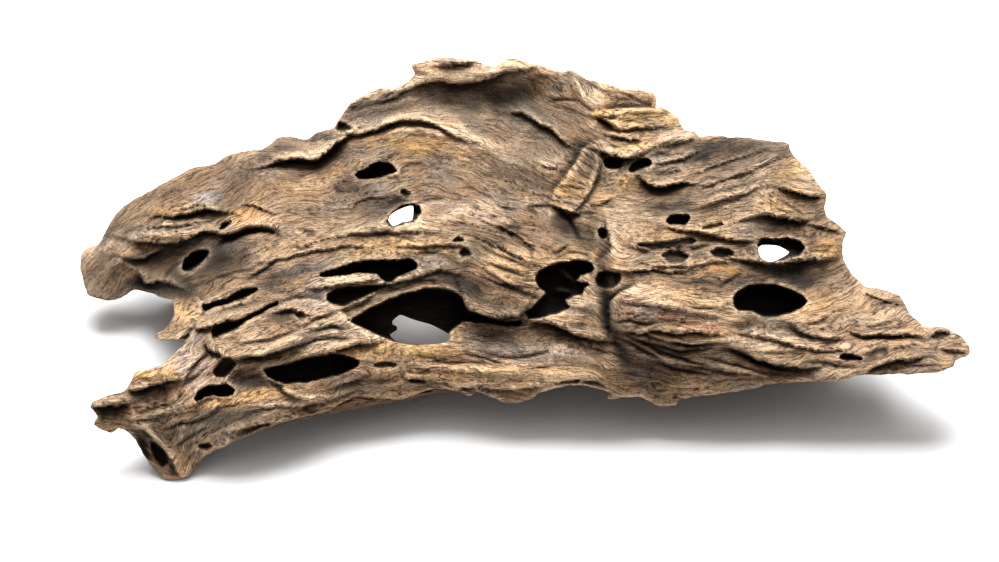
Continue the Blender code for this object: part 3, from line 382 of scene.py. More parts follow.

# Ridges and, below 0, creases: height in millimetres, width in squares, and line; creases are also painted
# in shade.
RIDGES: list[Ridge] = [
    Ridge(2.2, 3.5, [(345, 147), (360, 141), (378, 137), (396, 130), (418, 130), (436, 134), (452, 141)]),
    Ridge(3.0, 9, [
        (280, 262), (300, 253), (330, 242), (352, 232), (372, 227), (400, 225), (430, 223), (452, 218),
        (468, 207), (488, 202), (508, 200),
    ]),
    Ridge(2.5, 8, [(448, 128), (470, 134), (490, 146), (510, 158), (535, 170)]),
    Ridge(-5.0, 7, [(606, 228), (604, 250), (600, 275), (606, 300), (608, 322), (618, 345), (630, 370)]),
    Ridge(3.0, 12, [(612, 232), (612, 250), (603, 262)]),
    Ridge(2.5, 6, [(657, 145), (672, 140), (694, 134)]),
    Ridge(3.0, 5, [(574, 76), (578, 88), (584, 99), (600, 109)]),
    Ridge(2.0, 5, [(207, 342), (225, 336), (242, 330)]),
    Ridge(2.8, 4, [(243, 354), (262, 352), (285, 344), (308, 334), (330, 322)]),
    Ridge(3.0, 4, [(231, 358), (236, 356), (243, 358)]),
    Ridge(-4.0, 4, [(212, 249), (222, 243), (232, 238), (245, 231), (262, 229), (284, 235)]),
    Ridge(4.0, 13, [(212, 205), (238, 214), (262, 214)]),
    Ridge(-4.0, 14, [(480, 98), (505, 92), (535, 88), (560, 90)]),
    Ridge(-3.5, 9, [(560, 210), (566, 222), (574, 238)]),
    Ridge(3.5, 16, [(540, 215), (550, 232), (556, 246)]),
    Ridge(3.5, 22, [(620, 300), (660, 300), (700, 312)]),
    Ridge(3.0, 9, [(690, 196), (725, 180), (760, 166), (790, 156)]),
    Ridge(9.0, 4, [(554, 264), (564, 273), (575, 284)]),
    Ridge(7.0, 3, [(554, 291), (562, 290), (570, 292)]),
    Ridge(2.5, 3, [(219, 384), (228, 377), (237, 368), (241, 363)]),
    Ridge(2.0, 3, [(358, 381), (370, 385), (389, 391)]),
    Ridge(2.2, 4, [(285, 397), (300, 398), (318, 401)]),
    Ridge(2.0, 3, [(342, 307), (356, 301), (364, 297), (374, 290), (384, 283), (397, 279), (412, 276)]),
    Ridge(1.8, 4, [(124, 262), (135, 268), (142, 275), (145, 282)]),
    Ridge(1.5, 4, [(130, 427), (146, 427), (156, 439), (166, 449), (175, 461), (183, 476)]),
    Ridge(2.0, 4, [(840, 249), (828, 257), (815, 259)]),
    Ridge(2.2, 4, [(759, 261), (775, 263), (790, 261), (806, 256)]),
    # Cracks and seams, painted in shade.
    Ridge(-1.6, 1.4, [(192, 287), (205, 283), (220, 277), (235, 272), (246, 271), (262, 263)]),
    Ridge(-3.5, 1.8, [(246, 281), (258, 275), (266, 270), (278, 259)]),
    Ridge(-1.6, 1.5, [(162, 281), (168, 272), (176, 265), (184, 260)]),
    Ridge(-1.5, 4, [(122, 214), (112, 228), (104, 240), (100, 250)]),
    Ridge(-1.8, 1.6, [(370, 105), (384, 102), (392, 99), (399, 97)]),
    Ridge(-2.0, 1.6, [(398, 96), (404, 93), (411, 90)]),
    Ridge(-1.4, 1.4, [(380, 99), (390, 94), (400, 90)]),
    Ridge(-1.4, 1.4, [(352, 112), (362, 107), (374, 104)]),
    Ridge(-1.3, 1.5, [(546, 103), (560, 100), (579, 101)]),
    Ridge(-1.0, 1.4, [(580, 80), (592, 86), (604, 90), (620, 95)]),
    Ridge(-0.9, 1.2, [(596, 90), (615, 97), (634, 105)]),
    Ridge(-1.2, 1.4, [(613, 89), (626, 95), (636, 100), (650, 106)]),
    Ridge(-4.0, 1.8, [(596, 118), (604, 121), (613, 127)]),
    Ridge(-3.0, 1.4, [(601, 116), (609, 118), (618, 118)]),
    Ridge(-0.9, 1.0, [(622, 121), (640, 122), (656, 120)]),
    Ridge(-0.9, 1.0, [(626, 128), (645, 129), (668, 127)]),
    Ridge(-0.8, 1.0, [(622, 115), (645, 114), (668, 113)]),
    Ridge(-1.2, 1.1, [(606, 144), (616, 147), (630, 146)]),
    Ridge(-0.9, 0.9, [(582, 151), (590, 157), (601, 165)]),
    Ridge(-0.9, 0.9, [(578, 159), (589, 166), (600, 175)]),
    Ridge(-0.9, 0.9, [(571, 169), (584, 176), (598, 184)]),
    Ridge(-0.9, 0.9, [(563, 178), (576, 182), (592, 188)]),
    Ridge(-1.6, 1.2, [(557, 187), (567, 186), (578, 189), (589, 191)]),
    Ridge(-0.9, 0.9, [(554, 197), (568, 197), (584, 201)]),
    Ridge(-2.6, 1.3, [(528, 206), (540, 207), (553, 207)]),
    Ridge(-2.2, 1.3, [(551, 254), (560, 251), (571, 245)]),
    Ridge(-0.9, 1.0, [(553, 260), (564, 254), (578, 252), (592, 259)]),
    Ridge(-2.5, 2.5, [(566, 214), (574, 228), (580, 241)]),
    Ridge(-1.4, 1.5, [(650, 158), (660, 154), (672, 156)]),
    Ridge(-1.4, 1.8, [(652, 170), (662, 172), (676, 168)]),
    Ridge(-1.5, 1.6, [(690, 163), (700, 158), (712, 154)]),
    Ridge(-1.0, 1.0, [(690, 150), (712, 144), (735, 138)]),
    Ridge(-1.0, 1.0, [(694, 170), (720, 160), (750, 150)]),
    Ridge(-1.4, 1.1, [(740, 172), (760, 167), (775, 161), (790, 156)]),
    Ridge(-1.2, 1.0, [(700, 190), (724, 180), (750, 172)]),
    Ridge(-1.2, 1.0, [(696, 200), (724, 190), (748, 184), (772, 174)]),
    Ridge(-1.0, 1.0, [(700, 213), (730, 203), (758, 196)]),
    Ridge(-1.6, 1.2, [(780, 200), (790, 206), (800, 212), (808, 218)]),
    Ridge(-1.0, 0.9, [(772, 206), (786, 213), (800, 218)]),
    Ridge(-0.8, 0.9, [(818, 244), (830, 246), (840, 250)]),
    Ridge(-0.8, 0.9, [(816, 250), (828, 251), (837, 254)]),
    Ridge(-1.5, 2.0, [(676, 281), (690, 284), (702, 281), (716, 284)]),
    Ridge(-1.8, 2.0, [(718, 286), (732, 280), (742, 272)]),
    Ridge(-1.8, 1.5, [(612, 322), (630, 321), (645, 324), (657, 322)]),
    Ridge(-1.0, 1.0, [(656, 318), (680, 322), (704, 323)]),
    Ridge(-2.4, 1.8, [(640, 330), (650, 338), (672, 343), (690, 346), (716, 344)]),
    Ridge(-2.4, 1.8, [(640, 340), (660, 346), (680, 352), (702, 350), (716, 348)]),
    Ridge(-2.2, 1.8, [(614, 336), (635, 345), (655, 356), (668, 365)]),
    Ridge(-2.2, 1.8, [(622, 335), (645, 343), (665, 353), (692, 362), (722, 370)]),
    Ridge(-1.6, 1.6, [(650, 361), (680, 370), (712, 376)]),
    Ridge(-3.0, 2.5, [(724, 348), (745, 355), (760, 363), (780, 370), (800, 372)]),
    Ridge(-1.5, 1.5, [(700, 357), (730, 364), (760, 372), (790, 377)]),
    Ridge(-1.5, 1.4, [(870, 307), (885, 303), (903, 301)]),
    Ridge(-1.0, 1.0, [(845, 328), (860, 331), (880, 329), (906, 327)]),
    Ridge(-2.4, 1.5, [(850, 334), (865, 338), (880, 338), (900, 337), (914, 336)]),
    Ridge(-2.0, 3.0, [(864, 357), (876, 352), (889, 350)]),
    Ridge(-1.8, 1.4, [(800, 364), (820, 362), (838, 366), (856, 368)]),
    Ridge(-1.4, 1.2, [(748, 352), (770, 354), (790, 352), (806, 354)]),
    Ridge(-1.2, 1.0, [(890, 368), (910, 366), (940, 366)]),
    Ridge(-1.5, 1.3, [(462, 353), (480, 357), (495, 362), (512, 364)]),
    Ridge(-1.2, 1.2, [(412, 355), (430, 358), (450, 363), (480, 363), (500, 366)]),
    Ridge(-1.6, 1.3, [(486, 354), (500, 357), (520, 358), (540, 354), (551, 350)]),
    Ridge(-1.2, 1.0, [(520, 368), (535, 369), (552, 367)]),
    Ridge(-1.5, 1.3, [(578, 344), (600, 350), (622, 357)]),
    Ridge(-1.2, 1.5, [(470, 232), (490, 240), (515, 250)]),
    Ridge(-1.2, 1.5, [(478, 246), (500, 256), (528, 266)]),
    Ridge(-1.4, 1.6, [(485, 262), (505, 270), (530, 278)]),
    Ridge(-1.6, 1.8, [(478, 275), (500, 285), (538, 289)]),
    Ridge(-1.2, 1.4, [(495, 222), (515, 230), (532, 240)]),
    Ridge(-1.6, 2.0, [(500, 232), (512, 226), (522, 228)]),
    Ridge(-1.8, 2.5, [(368, 230), (380, 233), (394, 232)]),
    Ridge(-1.2, 1.4, [(398, 237), (406, 239), (414, 238)]),
    Ridge(-1.3, 2.0, [(299, 229), (308, 231), (316, 234)]),
    Ridge(-1.8, 1.5, [(414, 257), (420, 253), (430, 253), (442, 252)]),
    Ridge(-1.6, 1.3, [(410, 205), (420, 202), (432, 199), (443, 199)]),
    Ridge(-3.0, 4.0, [(386, 208), (396, 202), (410, 200)]),
    Ridge(-2.2, 2.0, [(298, 335), (318, 331), (330, 327), (347, 329)]),
    Ridge(-2.0, 1.6, [(306, 323), (320, 318), (335, 315)]),
    Ridge(-1.5, 1.5, [(296, 347), (315, 341), (335, 338), (352, 339)]),
    Ridge(-1.4, 1.4, [(262, 342), (285, 335), (300, 329)]),
    Ridge(-1.4, 1.4, [(232, 345), (250, 343), (268, 340)]),
    Ridge(-1.0, 1.0, [(250, 361), (270, 359), (290, 356)]),
    Ridge(-1.4, 1.4, [(220, 297), (240, 290), (262, 285)]),
    Ridge(-1.4, 1.4, [(215, 313), (240, 306), (262, 300)]),
    Ridge(-1.2, 1.1, [(180, 388), (196, 376), (212, 364)]),
    Ridge(-1.2, 1.1, [(186, 372), (200, 360), (212, 352)]),
    Ridge(-1.2, 1.1, [(136, 380), (152, 378), (172, 376)]),
    Ridge(-1.2, 1.2, [(140, 421), (162, 415), (184, 408), (200, 405)]),
    Ridge(-1.2, 1.2, [(136, 413), (155, 408), (176, 404)]),
    Ridge(-1.3, 1.3, [(205, 414), (225, 407), (250, 402)]),
    Ridge(-1.5, 1.6, [(160, 432), (180, 424), (200, 420), (222, 410)]),
    Ridge(-1.3, 1.5, [(175, 448), (190, 436), (206, 428)]),
    Ridge(-1.5, 1.4, [(182, 342), (190, 331), (196, 322)]),
    Ridge(-1.5, 2.0, [(136, 436), (142, 448), (150, 460)]),
    Ridge(-1.0, 1.0, [(182, 470), (188, 460), (196, 450)]),
]

SWELLINGS: list[Swelling] = [
    Swelling(-6.5, 46, 15, (500, 99)), Swelling(-4.0, 40, 16, (375, 112)),
    Swelling(6.0, 42, 40, (500, 250)), Swelling(6.0, 55, 26, (665, 300)),
    Swelling(-5.0, 22, 26, (585, 238)), Swelling(3.0, 60, 14, (430, 235)),
    Swelling(-7.0, 36, 13, (165, 256)), Swelling(3.0, 30, 12, (160, 228)),
    Swelling(-4.0, 45, 15, (700, 255)), Swelling(-4.0, 40, 14, (790, 275)),
    Swelling(3.5, 60, 18, (740, 195)), Swelling(-4.0, 34, 10, (640, 190)),
    Swelling(3.0, 24, 12, (640, 145)), Swelling(-5.0, 34, 12, (655, 372)),
    Swelling(3.0, 80, 10, (520, 372)), Swelling(-5.0, 40, 10, (250, 378)),
    Swelling(4.0, 40, 12, (290, 335)), Swelling(-4.0, 26, 9, (215, 262)),
    Swelling(-5.0, 36, 12, (500, 335)), Swelling(2.5, 18, 12, (590, 230)),
    Swelling(-4.0, 10, 16, (140, 450)), Swelling(-3.0, 18, 8, (108, 412)),
    Swelling(2.0, 14, 8, (200, 196)), Swelling(-2.5, 16, 7, (678, 208)),
    Swelling(-2.5, 24, 6, (710, 238)), Swelling(2.0, 30, 8, (440, 350)),
]

# Holes that end in the wood: depth in millimetres, width of the edge in squares, and line.
# The inside of each hollow is painted in shade and its rim pale, for wear and painted highlight.
HOLLOWS: list[Hollow] = [
    Hollow(16.0, 4, [
        (181, 267), (184, 259), (192, 252), (202, 249), (209, 250), (208, 257), (201, 265), (190, 272),
        (183, 272),
    ]),
    Hollow(7.0, 2.5, [(217, 232), (220, 225), (227, 221), (234, 218), (231, 224), (225, 230)]),
    Hollow(14.0, 4, [
        (354, 174), (358, 170), (369, 167), (372, 163), (380, 161), (390, 162), (398, 170), (391, 175),
        (380, 179), (368, 180), (357, 179),
    ]),
    Hollow(9.0, 3.5, [
        (386, 222), (390, 213), (400, 206), (411, 203), (420, 205), (422, 213), (416, 221), (404, 226),
        (391, 228),
    ]),
    Hollow(3.0, 2.5, [(399, 190), (405, 188), (412, 193), (408, 199), (401, 196)]),
    Hollow(12.0, 2.5, [
        (665, 221), (668, 216), (676, 214), (690, 214), (691, 219), (687, 225), (676, 226), (668, 225),
    ]),
    Hollow(3.0, 3, [(694, 229), (705, 225), (722, 222), (725, 226), (710, 231)]),
    Hollow(4.5, 3, [
        (634, 244), (645, 242), (660, 241), (676, 239), (690, 236), (698, 240), (690, 247), (672, 248),
        (655, 250), (640, 248),
    ]),
    Hollow(5.0, 5, [(660, 255), (668, 250), (681, 250), (691, 256), (685, 264), (668, 264)]),
    Hollow(5.0, 4, [(708, 252), (716, 247), (730, 248), (737, 255), (724, 259), (714, 258)]),
    Hollow(26.0, 6, [
        (732, 297), (738, 290), (748, 285), (762, 284), (776, 284), (790, 289), (802, 295), (808, 302),
        (802, 309), (790, 314), (776, 318), (764, 318), (752, 312), (736, 311), (733, 304),
    ]),
    Hollow(8.0, 2.5, [(838, 357), (843, 353), (852, 354), (864, 357), (862, 361), (850, 361), (842, 360)]),
    Hollow(11.0, 4, [
        (757, 246), (760, 238), (772, 238), (790, 238), (801, 241), (806, 248), (800, 257), (784, 261),
        (770, 263), (760, 260),
    ]),
    Hollow(16.0, 3, [
        (192, 400), (196, 393), (205, 386), (214, 384), (228, 384), (235, 389), (234, 395), (228, 398),
        (220, 398), (213, 396), (205, 398), (197, 402),
    ]),
    Hollow(6.0, 5, [
        (212, 372), (218, 363), (223, 357), (232, 357), (238, 364), (232, 373), (225, 378), (216, 377),
    ]),
    Hollow(16.0, 7, [
        (266, 376), (262, 369), (276, 365), (292, 362), (306, 358), (322, 355), (336, 353), (350, 356),
        (361, 361), (358, 367), (345, 374), (325, 379), (305, 383), (285, 385), (274, 381),
    ]),
    Hollow(10.0, 3.5, [
        (201, 305), (214, 301), (226, 297), (236, 292), (246, 288), (256, 286), (259, 290), (250, 297),
        (232, 304), (214, 308), (203, 313),
    ]),
    Hollow(8.0, 3.5, [
        (210, 330), (214, 326), (226, 321), (240, 319), (250, 314), (262, 308), (272, 303), (283, 297),
        (278, 305), (262, 314), (248, 321), (238, 330), (225, 335), (212, 340),
    ]),
    Hollow(17.0, 4, [
        (316, 275), (328, 270), (340, 267), (352, 262), (366, 260), (384, 259), (400, 259), (411, 258),
        (417, 262), (419, 269), (410, 273), (398, 277), (392, 282), (386, 284), (380, 279), (376, 275),
        (360, 274), (344, 276), (325, 278),
    ]),
    Hollow(11.0, 6, [
        (325, 299), (327, 293), (335, 288), (350, 286), (365, 285), (380, 284), (390, 284), (376, 292),
        (360, 300), (345, 307), (332, 305),
    ]),
    Hollow(19.0, 6, [
        (348, 320), (360, 313), (372, 306), (385, 300), (400, 294), (415, 290), (430, 287), (445, 288),
        (458, 293), (464, 300), (468, 309), (478, 314), (490, 318), (505, 321), (528, 320), (520, 327),
        (500, 326), (480, 323), (462, 323), (451, 332), (446, 343), (415, 346), (392, 342), (372, 333),
    ]),
    Hollow(17.0, 5, [
        (528, 320), (524, 312), (535, 303), (545, 293), (537, 286), (534, 278), (538, 270), (550, 265),
        (560, 261), (580, 260), (592, 262), (595, 268), (592, 273), (582, 276), (578, 281), (592, 283),
        (585, 288), (584, 295), (575, 297), (566, 300), (572, 308), (560, 313), (545, 318),
    ]),
    Hollow(8.0, 3, [(602, 160), (608, 157), (620, 157), (626, 161), (622, 168), (612, 171), (604, 168)]),
    Hollow(8.0, 3, [
        (627, 169), (632, 162), (640, 158), (648, 157), (653, 162), (650, 167), (640, 170), (630, 174),
    ]),
    Hollow(7.0, 4, [
        (594, 281), (598, 272), (606, 270), (614, 271), (622, 271), (621, 282), (614, 289), (604, 290),
        (596, 286),
    ]),
    Hollow(7.0, 3, [(597, 230), (602, 226), (607, 229), (608, 237), (602, 241), (598, 237)]),
    Hollow(6.0, 4, [(334, 131), (337, 121), (344, 122), (354, 128), (344, 133)]),
    Hollow(4.0, 4, [(931, 340), (933, 333), (942, 330), (952, 333), (948, 338), (938, 341)]),
    Hollow(6.0, 5, [(148, 441), (157, 443), (166, 452), (170, 463), (163, 468), (154, 460)]),
    Hollow(3.5, 3, [(371, 364), (379, 361), (388, 361), (398, 362), (396, 367), (384, 368), (374, 367)]),
    Hollow(4.0, 2, [(403, 378), (416, 378), (430, 380), (424, 383), (410, 383)]),
    Hollow(3.5, 3, [(294, 313), (300, 310), (306, 312), (307, 318), (298, 320)]),
    Hollow(4.5, 2.5, [(451, 240), (458, 236), (465, 238), (463, 243), (455, 244)]),
    Hollow(4.0, 3, [(458, 252), (464, 247), (470, 250), (473, 256), (462, 258)]),
    Hollow(4.0, 3, [(196, 448), (200, 443), (210, 441), (214, 446), (206, 450)]),
    Hollow(4.0, 3, [(176, 343), (180, 337), (190, 333), (189, 339), (184, 344)]),
]

# The way the grain runs: a mark on the drawing and degrees, rising to the right.
COMBS: list[tuple[float, float, float]] = [
    (100, 260, 60), (120, 230, 45), (150, 200, 38), (180, 185, 30), (175, 225, 8), (150, 232, 18),
    (210, 175, 28), (235, 165, 60), (240, 185, 60), (250, 200, 40), (150, 260, 30), (190, 255, 42),
    (230, 262, 22), (270, 240, 20), (270, 175, 5), (290, 145, -18), (300, 200, -12), (330, 215, -6),
    (300, 235, 20), (330, 150, 38), (350, 140, 28), (310, 180, 10), (350, 185, 15), (370, 100, 32),
    (400, 100, 30), (440, 110, 5), (470, 105, -8), (440, 70, 5), (500, 70, 18), (400, 125, 20),
    (430, 130, -5), (400, 150, 12), (440, 150, -22), (480, 160, -25), (450, 180, -5), (500, 180, -12),
    (540, 190, -8), (400, 185, 10), (340, 232, 18), (400, 240, -4), (440, 240, -12), (300, 270, 12),
    (340, 270, 14), (430, 262, -10), (480, 225, -28), (500, 250, -25), (490, 280, -25), (530, 230, -30),
    (530, 270, -20), (500, 300, -15), (550, 250, -22), (520, 210, -12), (540, 80, -14), (580, 100, -40),
    (540, 110, -38), (560, 150, -55), (520, 130, -30), (575, 180, -18), (565, 194, -8), (590, 160, -42),
    (580, 170, -28), (605, 195, 25), (625, 185, 35), (600, 205, 15), (620, 110, 2), (650, 120, 4),
    (640, 95, -12), (620, 145, 10), (660, 140, 22), (640, 170, -10), (665, 160, 40), (620, 190, 30),
    (620, 230, 20), (650, 210, 25), (700, 150, 24), (740, 150, 18), (740, 180, 26), (720, 200, 28),
    (700, 220, 20), (770, 160, 30), (800, 190, 8), (780, 208, 4), (730, 230, 18), (650, 250, 4),
    (700, 262, -12), (740, 262, -14), (780, 232, 4), (825, 225, 10), (820, 250, 10), (770, 272, -8),
    (830, 270, 12), (850, 285, 38), (870, 298, 32), (825, 295, 36), (835, 275, 38), (840, 320, 12),
    (880, 310, 24), (900, 320, 10), (580, 260, -18), (560, 310, 2), (600, 300, -60), (605, 250, -80),
    (605, 330, -70), (640, 290, -8), (680, 300, -18), (700, 320, -22), (640, 320, -8), (640, 350, -14),
    (700, 345, -12), (680, 370, -4), (760, 340, -12), (760, 365, -12), (820, 350, -8), (860, 345, -2),
    (900, 345, 2), (950, 345, 4), (920, 365, 2), (720, 385, 6), (800, 375, 2), (620, 385, -20),
    (560, 350, 6), (560, 375, 4), (500, 345, -10), (500, 380, 2), (450, 370, 2), (420, 355, -8),
    (420, 385, -2), (380, 385, 4), (350, 395, 6), (460, 340, -18), (180, 310, 60), (190, 290, 40),
    (170, 330, 30), (230, 290, 20), (230, 312, 18), (260, 300, 22), (290, 290, 10), (320, 285, 2),
    (350, 280, 4), (400, 282, 20), (350, 308, 28), (430, 275, 10), (300, 310, 22), (260, 325, 14),
    (230, 342, 8), (280, 335, 12), (320, 320, 18), (340, 335, -20), (360, 340, -30), (300, 350, 20),
    (340, 350, 12), (200, 340, 60), (200, 365, 42), (190, 385, 40), (170, 400, 28), (210, 380, 45),
    (150, 378, 4), (150, 395, 12), (110, 400, 14), (105, 420, 10), (150, 415, 24), (200, 412, 26),
    (230, 402, 12), (280, 400, 4), (300, 410, 10), (250, 412, 22), (200, 430, 30), (180, 440, 45),
    (180, 460, 60), (150, 440, -60), (160, 465, -70), (240, 430, 22), (280, 415, 15), (330, 405, 10),
]
